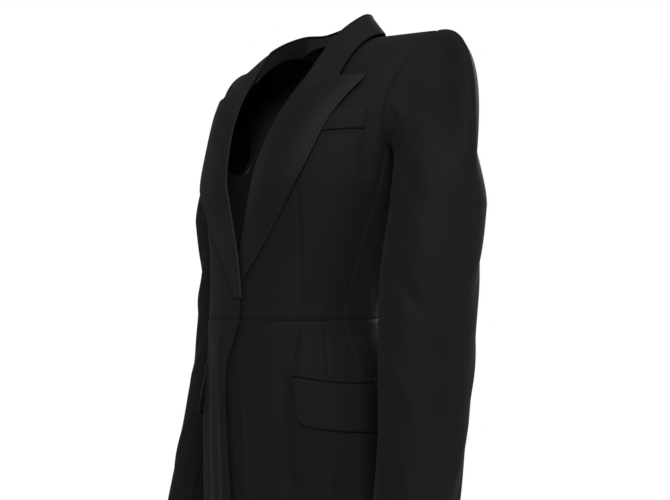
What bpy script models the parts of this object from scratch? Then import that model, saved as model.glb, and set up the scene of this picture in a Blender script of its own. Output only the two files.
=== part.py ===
"""Women's peak-lapel tuxedo jacket, worn form, built as the pieces a tailor cuts.

Metres, +Z up. The wearer faces -Y and the wearer's left side is +X. The origin lies between
the two neck points of the shoulder seams, where the wearer's shoulders carry the jacket.
Every panel is a thin closed wall on one body form, which is worked out from a few sections.
"""
import math

import bpy
import numpy as np

# ---------------------------------------------------------------- cloth and seams
CLOTH = 0.0018           # thickness of the suiting and of the satin
SEAM_GAP = 0.0003        # clear gap between neighbouring pieces
PLY = CLOTH + SEAM_GAP   # one layer laid on another
LEAF = PLY + 0.0005      # a lapel, welt or flap laid on a curved panel

# ---------------------------------------------------------------- heights
BUST_Z = -0.220
WAIST_Z = -0.400
HEM_Z = -0.740
GORGE_Z = -0.075         # the roll line leaves the collar here
BREAK_Z = -0.372         # the lapels end here, just above the fastening

# ---------------------------------------------------------------- body form
RING_COLUMNS = ("height", "half_width", "centre", "front", "back")
RINGS = np.array((
    (-0.740, 0.167, -0.020, 0.150, 0.136),   # hem
    (-0.620, 0.165, -0.024, 0.150, 0.134),   # low hip
    (-0.550, 0.160, -0.030, 0.147, 0.129),   # hip
    (-0.470, 0.143, -0.043, 0.137, 0.112),   # pocket
    (-0.400, 0.119, -0.054, 0.119, 0.096),   # waist
    (-0.320, 0.134, -0.044, 0.120, 0.104),   # under the bust
    (-0.220, 0.163, -0.030, 0.134, 0.118),   # bust
))
RING_SQUARE = 2.3        # exponent of a ring: 2 is an ellipse, more is squarer
NECK_HALF = 0.072        # centre to the neck point of the shoulder seam
SHOULDER_HALF = 0.204    # centre to the padded shoulder point
SHOULDER_DROP = 0.010    # fall of the padded shoulder line
SHOULDER_Y = 0.020       # the shoulder seam lies a little behind the neck
NECK_RISE = 0.030        # the form closes this far above the neck points
YOKE_SPREAD = SHOULDER_HALF / RINGS[-1][1]
FRONT_ROUND = 1.65       # exponent of the rise from bust to shoulder, front
BACK_ROUND = 2.2         # the same for the back
BLADE = 0.018            # fullness of the back over the shoulder blades

# ---------------------------------------------------------------- fronts
LAP = 0.013              # each front passes the centre by this much
LAP_SWING = 0.016        # below the waist both front edges swing this far to the right side
LAP_LIFT = 0.0052        # the right front lies this far off the left front
HIP_FLAT = 0.011         # the right hip lies this much flatter, because the skirt swings that way
NECK_SEAM_X = 0.0605     # the neck seam's distance from the centre at the gorge
SIDE_SEAM = 79.0         # turn of the seam between front and side, degrees
BACK_SEAM = 127.0        # turn of the seam between side and back
DART_X = 0.100           # bust dart, distance from the centre
DART_DEPTH = 0.0012
DART_HALF = 0.004

# ---------------------------------------------------------------- neck, lapels and collar
NAPE_OVER = 0.24         # how far below the form's top the back neck is cut, as a level
LAPEL_CORNER = (0.085, -0.095)   # across and height where the gorge seam turns
LAPEL_NOTCH = (0.117, -0.081)
LAPEL_TIP = (0.150, -0.079)
LAPEL_EDGE = np.array((          # across and height of the outer edge, tip to break
    (0.150, -0.079),
    (0.126, -0.125),
    (0.100, -0.205),
    (0.050, -0.292),
    (-0.006, -0.372),
))
LAPEL_ROLL = 0.006       # soft stand-off of the lapel between its roll and its edge
LAPEL_LIFT = 0.003       # stand-off of its outer edge
GORGE_SHARES = (0.0, 0.3, 0.65, 1.0)
COLLAR_COLUMNS = ("station", "crest_x", "crest_y", "crest_z", "edge_across", "edge_over")
COLLAR = np.array((
    (-0.25, -0.047, 0.047, 0.039, -0.055, 0.190),
    (0.00, 0.000, 0.060, 0.041, 0.000, 0.230),    # centre back
    (0.25, 0.047, 0.047, 0.039, 0.055, 0.190),
    (0.50, 0.066, 0.011, 0.032, 0.098, 0.000),    # over the shoulder seam
    (0.75, 0.067, -0.045, -0.007, 0.112, -0.270),
    (1.00, 0.061, -0.098, -0.072, 0.126, -0.510),  # gorge
))
COLLAR_CURVE = 0.004     # outward curve of the fall
STAND_INSET = 0.0024     # the stand's foot lies this far inside the neck edge
COLLAR_SINK = np.array((0.006, 0.0, -0.012))   # the right half is worn lower, most at the shoulder

# ---------------------------------------------------------------- pockets and fastening
POCKET_TURNS = (37.0, 86.0)
POCKET_SHIFT = 10.0      # the right pocket sits this many degrees nearer the front
POCKET_Z = -0.465
POCKET_SLANT = 0.012
JET_HEIGHT = 0.005
FLAP_DEPTH = 0.062
FLAP_CORNER = 0.014
WELT_IN = (0.089, -0.127, -0.155)    # across, top and bottom of the breast welt's inner end
WELT_OUT = (0.1575, -0.121, -0.149)
HOOK_Z = -0.387
HOOK_RADIUS = 0.007
HOOK_THICK = 0.0020

# ---------------------------------------------------------------- sleeves
SLEEVE_COLUMNS = ("height", "out", "half_x", "half_y", "left_y", "right_y")
SLEEVES = np.array((
    (-0.690, 0.242, 0.043, 0.059, -0.098, -0.034),   # cuff
    (-0.560, 0.239, 0.047, 0.060, -0.071, -0.002),
    (-0.430, 0.236, 0.050, 0.068, -0.057, 0.027),    # elbow
    (-0.340, 0.233, 0.055, 0.069, -0.045, 0.035),
    (-0.250, 0.231, 0.055, 0.066, -0.026, 0.021),    # upper arm
))
UNDERARM_RAISE = 0.0015  # the sleeve's fold clears the side panel's top edge by this much more
CAP_SHARE = 0.40         # part of the sleeve's rows that shape its cap
BACK_SEAM_COLUMN = 2     # armhole column, counted up the back, where the sleeve's back seam starts

# ---------------------------------------------------------------- armholes
ARMHOLE_MID = 90.0
ARMHOLE_HALF = 16.0
ARMHOLE_DRIFT = 2.0      # the lowest point sits this far behind the side
ARMHOLE_LEVEL = 0.12     # level of the armhole's lowest point
ARMHOLE_FRONT_CUT = 9.0  # how far the armhole bites into the front, degrees
ARMHOLE_BACK_CUT = 5.0

# ---------------------------------------------------------------- helpers on numbers


def smooth(x, knots, values):
    """Cubic curve through table rows, with each row's slope taken from its neighbours."""
    knots = np.asarray(knots, float)
    values = np.asarray(values, float)
    slopes = np.gradient(values, knots)
    i = np.clip(np.searchsorted(knots, x, side="right") - 1, 0, len(knots) - 2)
    step = knots[i + 1] - knots[i]
    s = np.clip((x - knots[i]) / step, 0.0, 1.0)
    first = values[i] * (1 + 2 * s) * (1 - s) ** 2 + slopes[i] * step * s * (1 - s) ** 2
    second = values[i + 1] * s * s * (3 - 2 * s) + slopes[i + 1] * step * s * s * (s - 1)
    return first + second


def ease(x, start, end):
    """0 before start, 1 after end, with a soft change between."""
    s = np.clip((x - start) / (end - start), 0.0, 1.0)
    return s * s * (3 - 2 * s)


def power(x, exponent):
    """Signed power, for superellipses."""
    return np.sign(x) * np.abs(x) ** exponent


def unit(v):
    return v / np.maximum(np.linalg.norm(v, axis=-1, keepdims=True), 1e-12)


def ring_value(name, z):
    column = RING_COLUMNS.index(name)
    return smooth(z, RINGS[:, 0], RINGS[:, column])


# ---------------------------------------------------------------- the body form


def shoulder_z(across):
    """Height of the shoulder line at a distance from the centre."""
    out = np.abs(across)
    slope = -SHOULDER_DROP * (out - NECK_HALF) / (SHOULDER_HALF - NECK_HALF)
    return np.where(out > NECK_HALF, slope, NECK_RISE * (1 - (out / NECK_HALF) ** 2))


def form(turn, level):
    """Point of the body form.

    turn is in degrees round the body from the front centre, the left side at +90.
    level is metres below the bust where negative, and the share of the rise from the bust
    to the shoulder line, 0 to 1, where positive.
    """
    turn, level = np.broadcast_arrays(np.asarray(turn, float), np.asarray(level, float))
    angle = np.radians(turn)
    z_ring = BUST_Z + np.minimum(level, 0.0)
    x_ring = ring_value("half_width", z_ring) * power(np.sin(angle), 2 / RING_SQUARE)
    is_front = np.cos(angle) > 0
    depth = np.where(is_front, ring_value("front", z_ring), ring_value("back", z_ring))
    y_ring = ring_value("centre", z_ring) - depth * power(np.cos(angle), 2 / RING_SQUARE)
    rise = np.radians(90.0) * np.clip(level, 0.0, 1.0)
    bend = 2 / (FRONT_ROUND + (BACK_ROUND - FRONT_ROUND) * ease(np.abs(turn), 74.0, 106.0))
    up = np.sin(rise) ** bend
    over = np.clip(np.cos(rise), 0.0, 1.0) ** bend
    x_top = x_ring * YOKE_SPREAD
    x = x_ring + (x_top - x_ring) * np.sin(rise) ** 1.5
    y = SHOULDER_Y + (y_ring - SHOULDER_Y) * over
    y = y + np.where(is_front, 0.0, BLADE * np.sin(2 * rise) * np.clip(-np.cos(angle), 0, 1) ** 0.5)
    z = z_ring + (shoulder_z(x_top) - BUST_Z) * up
    return np.stack((x, y, z), axis=-1)


def form_out(turn, level):
    """Outward direction of the form."""
    turn, level = np.broadcast_arrays(np.asarray(turn, float), np.asarray(level, float))
    inner_level = np.minimum(level, 0.985)
    around = form(turn + 0.2, inner_level) - form(turn - 0.2, inner_level)
    upward = form(turn, inner_level + 0.002) - form(turn, inner_level - 0.002)
    out = unit(np.cross(around, upward))
    ridge = out * np.array((1.0, 0.0, 1.0))
    return np.where((level > 0.999)[..., None], unit(ridge), out)


def turn_at(x, z):
    """Turn of the front's ring point at this distance across, at or below the bust."""
    share = np.clip(np.abs(x) / ring_value("half_width", z), 0.0, 1.0)
    return np.sign(x) * np.degrees(np.arcsin(share ** (RING_SQUARE / 2)))


def spot(x, z):
    """Turn and level of the front's point at this distance across and this height."""
    x, z = np.broadcast_arrays(np.asarray(x, float), np.asarray(z, float))
    x_ring = x.copy()
    level = np.zeros_like(x)
    for _ in range(12):
        share = (z - BUST_Z) / (shoulder_z(x_ring * YOKE_SPREAD) - BUST_Z)
        sine = np.clip(share, 0.0, 1.0) ** (FRONT_ROUND / 2)
        x_ring = x / (1 + (YOKE_SPREAD - 1) * sine ** 1.5)
        level = np.degrees(np.arcsin(sine)) / 90.0
    low = z < BUST_Z
    turn = np.where(low, turn_at(x, z), turn_at(x_ring, np.full_like(z, BUST_Z)))
    return turn, np.where(low, z - BUST_Z, level)


def yoke(across, over):
    """Turn and level near the shoulder seam: over is 0 on it, negative in front."""
    across, over = np.broadcast_arrays(np.asarray(across, float), np.asarray(over, float))
    front_turn = turn_at(across / YOKE_SPREAD, np.full_like(across, BUST_Z))
    back_turn = np.where(across < 0, -180.0, 180.0) - front_turn
    return np.where(over <= 0, front_turn, back_turn), 1 - np.abs(over)


# ---------------------------------------------------------------- cut lines on the form


def lift_at(side, turn, level):
    """Stand-off of a panel: the right front lies over the left one near the centre."""
    if side > 0:
        return 0.0 * turn
    flat = ease(-turn, 8.0, 26.0) * (1 - ease(-turn, 60.0, 100.0)) * ease(-level, 0.18, 0.2286)
    return LAP_LIFT * ease(turn, -48.0, -24.0) * (1 - ease(level, -0.04, 0.25)) - HIP_FLAT * flat


def inner_x(z, side=1):
    """Distance from the centre of a front's inner edge at a height, toward its own side."""
    neck = NECK_SEAM_X + (NECK_HALF - NECK_SEAM_X) * ((z - GORGE_Z) / -GORGE_Z)
    roll = -LAP + (NECK_SEAM_X + LAP) * (z - BREAK_Z) / (GORGE_Z - BREAK_Z)
    skirt = -LAP - side * LAP_SWING * (1 - ease(z, -0.47, WAIST_Z)) * ease(z, -0.95, -0.5)
    return np.where(z > GORGE_Z, neck, np.where(z > BREAK_Z, roll, skirt))


def inner_turn(level, side=1):
    """Turn of the left front's inner edge at each level."""
    level = np.asarray(level, float)
    z = np.where(level < 0, BUST_Z + level, BUST_Z * (1 - np.sin(np.radians(90 * np.clip(level, 0, 1)))
                                                       ** (2 / FRONT_ROUND)))
    return spot(inner_x(z, side), z)[0]


def armhole(share):
    """Turn and level on the left armhole: 0 shoulder point, 0.5 underarm, 1 shoulder point again."""
    angle = np.pi * np.asarray(share, float)
    cut = np.where(angle < np.pi / 2, -ARMHOLE_FRONT_CUT, ARMHOLE_BACK_CUT) * np.sin(2 * angle) ** 2
    turn = ARMHOLE_MID - ARMHOLE_HALF * np.cos(angle) + ARMHOLE_DRIFT * np.sin(angle) + cut
    level = 1 - (1 - ARMHOLE_LEVEL) * np.sin(angle) ** 0.9
    return turn, level


ARM_SHARES = np.linspace(0.0, 1.0, 721)
ARM_TURNS, ARM_LEVELS = armhole(ARM_SHARES)
SIDE_SHARE = float(np.interp(SIDE_SEAM + 1.5, ARM_TURNS[180:540], ARM_SHARES[180:540]))
BACK_SHARE = float(np.interp(ARMHOLE_MID + 11.0, ARM_TURNS[180:540], ARM_SHARES[180:540]))
SIDE_TOP = armhole(SIDE_SHARE)
BACK_TOP = armhole(BACK_SHARE)


def seam_turn(level, low_turn, top):
    """Turn of a side seam, swinging from its place below the bust to its place at the armhole."""
    return low_turn + (top[0] - low_turn) * ease(np.asarray(level, float), -0.09, float(top[1]))


def outer_turn(level, front):
    """Turn of a front's or back's outer edge: the side seam, then the armhole."""
    if front:
        shares, low_turn, top = np.linspace(0, SIDE_SHARE, 200), SIDE_SEAM, SIDE_TOP
    else:
        shares, low_turn, top = np.linspace(1, BACK_SHARE, 200), BACK_SEAM, BACK_TOP
    turns, levels = armhole(shares)
    order = np.argsort(levels)
    on_armhole = np.interp(level, levels[order], turns[order])
    return np.where(level >= float(top[1]), on_armhole, seam_turn(level, low_turn, top))


# ---------------------------------------------------------------- making solids


def material(name, colour, roughness):
    made = bpy.data.materials.new(name)
    made.use_nodes = True
    shader = made.node_tree.nodes["Principled BSDF"]
    shader.inputs["Base Color"].default_value = (*colour, 1.0)
    shader.inputs["Roughness"].default_value = roughness
    shader.inputs["Metallic"].default_value = 0.0
    return made


def solid(name, verts, faces, colour, roughness):
    mesh = bpy.data.meshes.new(name)
    mesh.from_pydata([tuple(v) for v in verts], [], faces)
    mesh.update()
    mesh.shade_smooth()
    made = bpy.data.objects.new(name, mesh)
    made.data.materials.append(material(name + "_cloth", colour, roughness))
    bpy.context.collection.objects.link(made)
    return made


WOOL = ((0.010, 0.010, 0.012), 0.85)
SATIN = ((0.013, 0.015, 0.019), 0.42)
HORN = ((0.02, 0.02, 0.02), 0.35)


def wall(name, middle, out, finish, thick=CLOTH, trim=SEAM_GAP / 2):
    """Closed thin wall on a grid of points, its four edges trimmed back for the seams."""
    grid = middle.copy()
    for edge, inner in ((0, 1), (-1, -2)):
        grid[edge] += trim * unit(middle[inner] - middle[edge])
    for edge, inner in ((0, 1), (-1, -2)):
        grid[:, edge] += trim * unit(middle[:, inner] - middle[:, edge])
    rows, columns = grid.shape[:2]
    verts = np.concatenate(((grid + out * thick / 2).reshape(-1, 3), (grid - out * thick / 2).reshape(-1, 3)))
    under = rows * columns
    faces = []
    for i in range(rows - 1):
        for j in range(columns - 1):
            a, b = i * columns + j, i * columns + j + 1
            d, c = a + columns, b + columns
            falling = np.linalg.norm(grid[i, j] - grid[i + 1, j + 1])
            rising = np.linalg.norm(grid[i, j + 1] - grid[i + 1, j])
            # both faces share the shorter diagonal, which keeps the wall's thickness in a twist
            halves = ((a, b, c), (a, c, d)) if falling <= rising else ((a, b, d), (b, c, d))
            for half in halves:
                faces.append(half)
                faces.append(tuple(under + v for v in reversed(half)))
    rim = [j for j in range(columns)]
    rim += [i * columns + columns - 1 for i in range(1, rows)]
    rim += [(rows - 1) * columns + j for j in range(columns - 2, -1, -1)]
    rim += [i * columns for i in range(rows - 2, 0, -1)]
    for here, there in zip(rim, rim[1:] + rim[:1]):
        faces.append((there, here, under + here, under + there))
    normal = np.cross(grid[0, 1] - grid[0, 0], grid[1, 0] - grid[0, 0])
    if np.dot(normal, out[0, 0]) < 0:
        faces = [tuple(reversed(face)) for face in faces]
    return solid(name, verts, faces, *finish)


def mirrored(points, side):
    return points * np.array((side, 1.0, 1.0))


SIDES = ((1, "left"), (-1, "right"))
WAIST_LEVEL = WAIST_Z - BUST_Z
LOW_LEVELS = np.linspace(WAIST_LEVEL, 0.0, 7)
SKIRT_LEVELS = np.linspace(HEM_Z, WAIST_Z, 8) - BUST_Z


def bodice_levels(side_top):
    """Levels of a panel's rows: two reach the armhole's corner, the rest the shoulder."""
    upper = np.linspace(side_top, 1.0, 8)[1:]
    return np.concatenate((LOW_LEVELS, (side_top / 2, side_top), upper))


FRONT_LEVELS = bodice_levels(float(SIDE_TOP[1]))
BACK_LEVELS = bodice_levels(float(BACK_TOP[1]))


def between(start, end, shares):
    """Grid of turns: one row a level, from start to end."""
    return start[:, None] + (end - start)[:, None] * shares[None, :]


def dart_dent(turn, level, low, high):
    """Depth of the tuck that a dart makes along the bust line."""
    x = form(turn, level)[..., 0]
    along = ease(level, low, low + 0.03) * (1 - ease(level, high - 0.05, high))
    return DART_DEPTH * np.exp(-((x - DART_X) / DART_HALF) ** 2) * along


def panel(name, side, turns, levels, finish=WOOL, dart=None):
    """Panel of the form. The form is symmetrical, so the right side mirrors the left."""
    points, out = form(turns, levels), form_out(turns, levels)
    if dart:
        points = points - out * dart_dent(turns, levels, *dart)[..., None]
    points = points + out * lift_at(side, side * turns, levels)[..., None]
    return wall(name, mirrored(points, side), mirrored(out, side), finish)


def make_fronts():
    shares = np.array((0, 0.12, 0.28, 0.42, 0.52, 0.58, 0.64, 0.76, 0.88, 1.0))
    for side, word in SIDES:
        turns = between(inner_turn(FRONT_LEVELS), outer_turn(FRONT_LEVELS, True), shares)
        panel("front_bodice_" + word, side, turns, FRONT_LEVELS[:, None] + 0 * turns, dart=(-0.2, 0.05))
        start = inner_turn(SKIRT_LEVELS, side)
        turns = between(start, SIDE_SEAM + 0 * start, shares)
        panel("front_skirt_" + word, side, turns, SKIRT_LEVELS[:, None] + 0 * turns)


def make_sides():
    shares = np.linspace(SIDE_SHARE, BACK_SHARE, 6)
    top_turns, top_levels = armhole(shares)
    low = LOW_LEVELS[:, None] + 0 * top_levels[None, :]
    levels = np.concatenate((low, top_levels[None, :] / 2, top_levels[None, :]))
    across = np.linspace(0, 1, 6)[None, :]
    front, back = seam_turn(levels, SIDE_SEAM, SIDE_TOP), seam_turn(levels, BACK_SEAM, BACK_TOP)
    rise = ((levels - WAIST_LEVEL) / (top_levels - WAIST_LEVEL)) ** 3
    plain_top = SIDE_TOP[0] * (1 - across) + BACK_TOP[0] * across
    turns = front * (1 - across) + back * across + (top_turns[None, :] - plain_top) * rise
    below = np.linspace(SIDE_SEAM, BACK_SEAM, 6)[None, :] + 0 * SKIRT_LEVELS[:, None]
    for side, word in SIDES:
        panel("side_bodice_" + word, side, turns, levels)
        panel("side_skirt_" + word, side, below, SKIRT_LEVELS[:, None] + 0 * below)


def make_backs():
    shares = np.linspace(0, 1, 8)
    for side, word in SIDES:
        levels = BACK_LEVELS[:, None] + 0 * shares[None, :]
        turns = between(outer_turn(BACK_LEVELS, False), 180.0 + 0 * BACK_LEVELS, shares)
        neck = 180.0 - float(yoke(NECK_HALF, 0.0)[0])
        drop = NAPE_OVER * ease(turns, neck, 180.0) * np.ones_like(levels)
        levels = np.where(levels > 0, levels * (1 - drop), levels)
        panel("back_bodice_" + word, side, turns, levels)
        start = np.full_like(SKIRT_LEVELS, BACK_SEAM)
        turns = between(start, np.full_like(start, 180.0), shares)
        panel("back_skirt_" + word, side, turns, SKIRT_LEVELS[:, None] + 0 * turns)


# ---------------------------------------------------------------- sleeves


def armhole_frame(around):
    """Point, outward direction and the direction into the sleeve, round the left armhole."""
    share = np.asarray(around, float) / 360.0
    near = np.clip(share, 0.004, 0.996)
    point = form(*armhole(share))
    out = form_out(*armhole(near))
    along = form(*armhole(near + 0.003)) - form(*armhole(near - 0.003))
    into = unit(np.cross(out, unit(along)))
    hollow = form(*armhole(np.linspace(0, 1, 60))).mean(axis=0) + np.array((0.15, 0, 0))
    into = into * np.sign(np.sum(into * (hollow - point), axis=-1, keepdims=True))
    return point, out, into


def sleeve(around, along, side):
    """Point of a sleeve: around is 0 outside, 90 in front, 180 inside; along is 0 to 1."""
    around, along = np.broadcast_arrays(np.asarray(around, float), np.asarray(along, float))
    angle = np.radians(around)
    y_name = "left_y" if side > 0 else "right_y"
    top_z, cuff_z = SLEEVES[-1, 0], SLEEVES[0, 0]
    z = top_z + (cuff_z - top_z) * np.clip((along - CAP_SHARE) / (1 - CAP_SHARE), 0, 1)
    column = {name: smooth(z, SLEEVES[:, 0], SLEEVES[:, SLEEVE_COLUMNS.index(name)])
              for name in ("out", "half_x", "half_y", y_name)}
    x = column["out"] + column["half_x"] * power(np.cos(angle), 0.9)
    y = column[y_name] - column["half_y"] * power(np.sin(angle), 0.9)
    ring = np.stack((x, y, z), axis=-1)
    start, _, into = armhole_frame(around % 360.0)
    outside = (0.5 + 0.5 * np.cos(angle))[..., None]
    start = start + (into * UNDERARM_RAISE + np.array((UNDERARM_RAISE, 0, 0))) * (1 - outside) ** 2
    leave = unit(into + np.array((1.2, 0.0, 0.0)) * (1 - outside) + np.array((0, 0, 0.12)) * outside)
    chord = np.linalg.norm(ring - start, axis=-1, keepdims=True)
    s = np.clip(along / CAP_SHARE, 0, 1)[..., None]
    leave_pull = chord * (0.75 + 0.25 * outside)
    down_pull = chord * 0.75
    cap = (start * (1 + 2 * s) * (1 - s) ** 2 + leave * leave_pull * s * (1 - s) ** 2
           + ring * s * s * (3 - 2 * s) + np.array((0, 0, -1.0)) * down_pull * s * s * (s - 1))
    return np.where((along < CAP_SHARE)[..., None], cap, ring)


def armhole_shares(levels, front):
    """Places on the armhole of a panel's own rows, in order round the armhole."""
    shares = np.linspace(0, SIDE_SHARE, 400) if front else np.linspace(1, BACK_SHARE, 400)
    seen = armhole(shares)[1]
    wanted = levels[levels >= seen.min() - 1e-6]
    return np.sort(np.interp(wanted, seen[::-1], shares[::-1]))


def make_sleeves():
    rows = np.concatenate((CAP_SHARE * np.array((0, 0.12, 0.26, 0.42, 0.6, 0.8)),
                           np.linspace(CAP_SHARE, 1.0, 6)))
    front = armhole_shares(FRONT_LEVELS, True)
    under = np.linspace(SIDE_SHARE, BACK_SHARE, 6)
    back = armhole_shares(BACK_LEVELS, False)
    cuts = (("top_sleeve_", np.concatenate((back[BACK_SEAM_COLUMN:] - 1, front[1:]))),
            ("under_sleeve_", np.concatenate((under, back[1:BACK_SEAM_COLUMN + 1]))))
    for side, word in SIDES:
        for name, shares in cuts:
            around = 360.0 * shares[None, :] + 0 * rows[:, None]
            along = rows[:, None] + 0 * around
            points = sleeve(around, along, side)
            step = sleeve(around + 1.0, along, side) - sleeve(around - 1.0, along, side)
            ahead = np.minimum(along + 0.01, 1.0)
            behind = np.maximum(along - 0.01, 0.0)
            down = sleeve(around, ahead, side) - sleeve(around, behind, side)
            out = unit(np.cross(step, down))
            out[0] = armhole_frame(around[0] % 360.0)[1]
            wall(name + word, mirrored(points, side), mirrored(out, side), WOOL)


# ---------------------------------------------------------------- lapels and collar


def gorge(share):
    """Across and height along the gorge seam, from the roll line to the lapel's tip."""
    corners = np.array(((NECK_SEAM_X, GORGE_Z), LAPEL_CORNER, LAPEL_NOTCH, LAPEL_TIP))
    return (np.interp(share, GORGE_SHARES, corners[:, 0]), np.interp(share, GORGE_SHARES, corners[:, 1]))


def lapel_spot(along, share):
    """Across and height on the lapel: along from gorge to break, share from roll to edge."""
    roll_z = GORGE_Z + (BREAK_Z - GORGE_Z) * along
    roll_x = inner_x(roll_z)
    edge_z = LAPEL_TIP[1] + (BREAK_Z - LAPEL_TIP[1]) * along
    edge_x = smooth(edge_z, LAPEL_EDGE[::-1, 1], LAPEL_EDGE[::-1, 0])
    top_x, top_z = gorge(share)
    fade = (1 - along) ** 3
    x = roll_x + (edge_x - roll_x) * share + fade * (top_x - NECK_SEAM_X - (LAPEL_TIP[0] - NECK_SEAM_X) * share)
    z = roll_z + (edge_z - roll_z) * share + fade * (top_z - GORGE_Z - (LAPEL_TIP[1] - GORGE_Z) * share)
    return x, z


def lapel_lift(along, share):
    """Stand-off of the lapel over its front, less where the fronts cross."""
    free = 1 - ease(along, 0.45, 0.70)
    return LEAF + (LAPEL_ROLL * 4 * share * (1 - share) + LAPEL_LIFT * share ** 2) * free


def lapel_base(along, share, side):
    """Points and outward directions of the front under the lapel."""
    turn, level = spot(*lapel_spot(along, share))
    out = form_out(turn, level)
    return form(turn, level) + out * lift_at(side, side * turn, level)[..., None], out


def lapel_grid(along, shares, side):
    """Lapel points: an arc over the front's edge, then the leaf itself."""
    along = along[:, None]
    base, out = lapel_base(along + 0 * shares, shares[None, :] + 0 * along, side)
    leaf = base + out * lapel_lift(along, shares[None, :])[..., None]
    edge, normal = base[:, :1], out[:, :1]
    away = unit(base[:, :1] - base[:, 1:2])
    away = unit(away - normal * np.sum(away * normal, axis=-1, keepdims=True))
    angles = np.radians((90.0, 60.0, 30.0))[None, :, None]
    arc = edge + LEAF * (away * np.sin(angles) + normal * np.cos(angles))
    return np.concatenate((arc, leaf), axis=1)


LAPEL_SHARES = np.array((0.0, 0.08, 0.18, 0.3, 0.47, 0.65, 0.82, 1.0))


def make_lapels():
    along = np.linspace(0, 1, 17)
    for side, word in SIDES:
        points = lapel_grid(along, LAPEL_SHARES, side)
        out = np.cross(np.gradient(points, axis=0), np.gradient(points, axis=1))
        out = unit(out) * np.sign(np.mean(out[:, 6] @ form_out(15.0, 0.1)))
        wall("lapel_" + word, mirrored(points, side), mirrored(out, side), SATIN)


def collar_value(name, station):
    return smooth(station, COLLAR[:, 0], COLLAR[:, COLLAR_COLUMNS.index(name)])


def neck_spot(station):
    """Turn and level of the neck seam, left half: 0 centre back, 0.5 shoulder, 1 gorge."""
    neck = 180.0 - float(yoke(NECK_HALF, 0.0)[0])
    back_turn = 180.0 + (neck - 180.0) * np.clip(station / 0.5, 0, 1)
    back_level = 1 - NAPE_OVER * ease(back_turn, neck, 180.0)
    z = GORGE_Z * np.clip((station - 0.5) / 0.5, 0, 1)
    turn, level = spot(inner_x(z), z)
    return np.where(station <= 0.5, back_turn, turn), np.where(station <= 0.5, back_level, level)


def neck_seam(station):
    return form(*neck_spot(station))


def collar_frame(station):
    """Crest, direction away from the neck seam and outward direction, left half."""
    crest = np.stack([collar_value(name, station) for name in ("crest_x", "crest_y", "crest_z")], axis=-1)
    along = np.stack([collar_value(name, np.minimum(station + 0.02, 1)) - collar_value(name, station - 0.02)
                      for name in ("crest_x", "crest_y", "crest_z")], axis=-1)
    up = unit(crest - neck_seam(np.minimum(station, 0.9)))
    up = unit(up - along * np.sum(up * along, axis=-1, keepdims=True) / np.sum(along ** 2, axis=-1, keepdims=True))
    return crest, up, unit(np.cross(up, along))


FALL_SHARES = np.linspace(0, 1, 6)
COLLAR_STATIONS = np.concatenate((np.linspace(0, 0.7, 8), np.linspace(0.76, 1.0, 6)))


def collar_leaf(station):
    """Fall of the collar, left half: over the stand's top, then down to its outer edge."""
    crest, up, out = collar_frame(station)
    turn, level = yoke(collar_value("edge_across", station), collar_value("edge_over", station))
    edge_out = form_out(turn, level)
    edge = form(turn, level) + edge_out * (LEAF + LAPEL_LIFT)
    start_angle = 150.0 - 60.0 * ease(station, 0.75, 1.0)
    arc = [crest + LEAF * (up * np.sin(np.radians(a))[:, None] + out * np.cos(np.radians(a))[:, None])
           for a in (start_angle, start_angle * 0.7, start_angle * 0.35)]
    top = crest + LEAF * out
    middle = (top + edge) / 2 + unit(edge_out + out) * COLLAR_CURVE
    s = FALL_SHARES[None, :, None]
    leaf = top[:, None] * (1 - s) ** 2 + 2 * middle[:, None] * s * (1 - s) + edge[:, None] * s * s
    return np.concatenate((np.stack(arc, axis=1), leaf), axis=1)


def collar_side():
    """Rows of the fall from centre back to the gorge, the last row matching the lapel's top."""
    station = COLLAR_STATIONS
    points = collar_leaf(station)
    shares = FALL_SHARES * GORGE_SHARES[2]
    end = lapel_grid(np.array((0.0,)), shares, 1)[0]
    weight = (np.clip((station - 0.7) / 0.3, 0, 1) ** 2)[:, None, None]
    return points + weight * (end - points[-1])[None]


def sunk(points, station, shares):
    """Right half of a collar piece: the left half mirrored and sunk, its share 0 side the most."""
    fall = np.sin(np.pi * np.clip(station / 0.76, 0, 1))[:, None, None] * (1 - shares)[None, :, None]
    return mirrored(points, -1) + COLLAR_SINK * fall


def make_collar():
    left = collar_side()
    shares = np.concatenate((np.zeros(3), FALL_SHARES))
    right = sunk(left, COLLAR_STATIONS, shares)[1:][::-1]
    points = np.concatenate((right, left), axis=0)
    out = unit(np.cross(np.gradient(points, axis=0), np.gradient(points, axis=1)))
    hint = np.array((0, 0.5, 1.0))
    middle = len(points) // 2
    out = out * np.sign(np.dot(out[middle, 5], hint))
    wall("collar_fall", points, out, WOOL)
    station = COLLAR_STATIONS[COLLAR_STATIONS < 0.92]
    crest, _, _ = collar_frame(station)
    seam = neck_seam(station)
    inward = unit((np.array((0, 0.015, 0)) - seam) * np.array((1, 1, 0)))
    out = form_out(*neck_spot(station))
    inward = unit(inward - out * np.sum(inward * out, axis=-1, keepdims=True))
    foot = seam + inward * STAND_INSET + out * CLOTH / 2
    s = np.linspace(0, 1, 4)[None, :, None]
    left = foot[:, None] + (crest - foot)[:, None] * s
    right = sunk(left, station, 1 - s[0, :, 0])[1:][::-1]
    points = np.concatenate((right, left), axis=0)
    out = unit(np.cross(np.gradient(points, axis=0), np.gradient(points, axis=1)))
    out = out * np.sign(out[len(points) // 2, 1, 1])
    wall("collar_stand", points, out, WOOL)


# ---------------------------------------------------------------- pockets and fastening


def pocket_top(turn):
    share = (turn - POCKET_TURNS[0]) / (POCKET_TURNS[1] - POCKET_TURNS[0])
    return POCKET_Z - POCKET_SLANT * np.sin(np.radians(90.0) * np.clip(share, 0, 1))


def patch(name, side, turn, z, lift, finish=WOOL):
    """Small flat-sewn piece made from the panel's own points, moved out."""
    level = z - BUST_Z
    out = form_out(turn, level)
    points = form(turn, level) + out * (lift_at(side, side * turn, level) + lift)[..., None]
    wall(name, mirrored(points, side), mirrored(out, side), finish)


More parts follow.
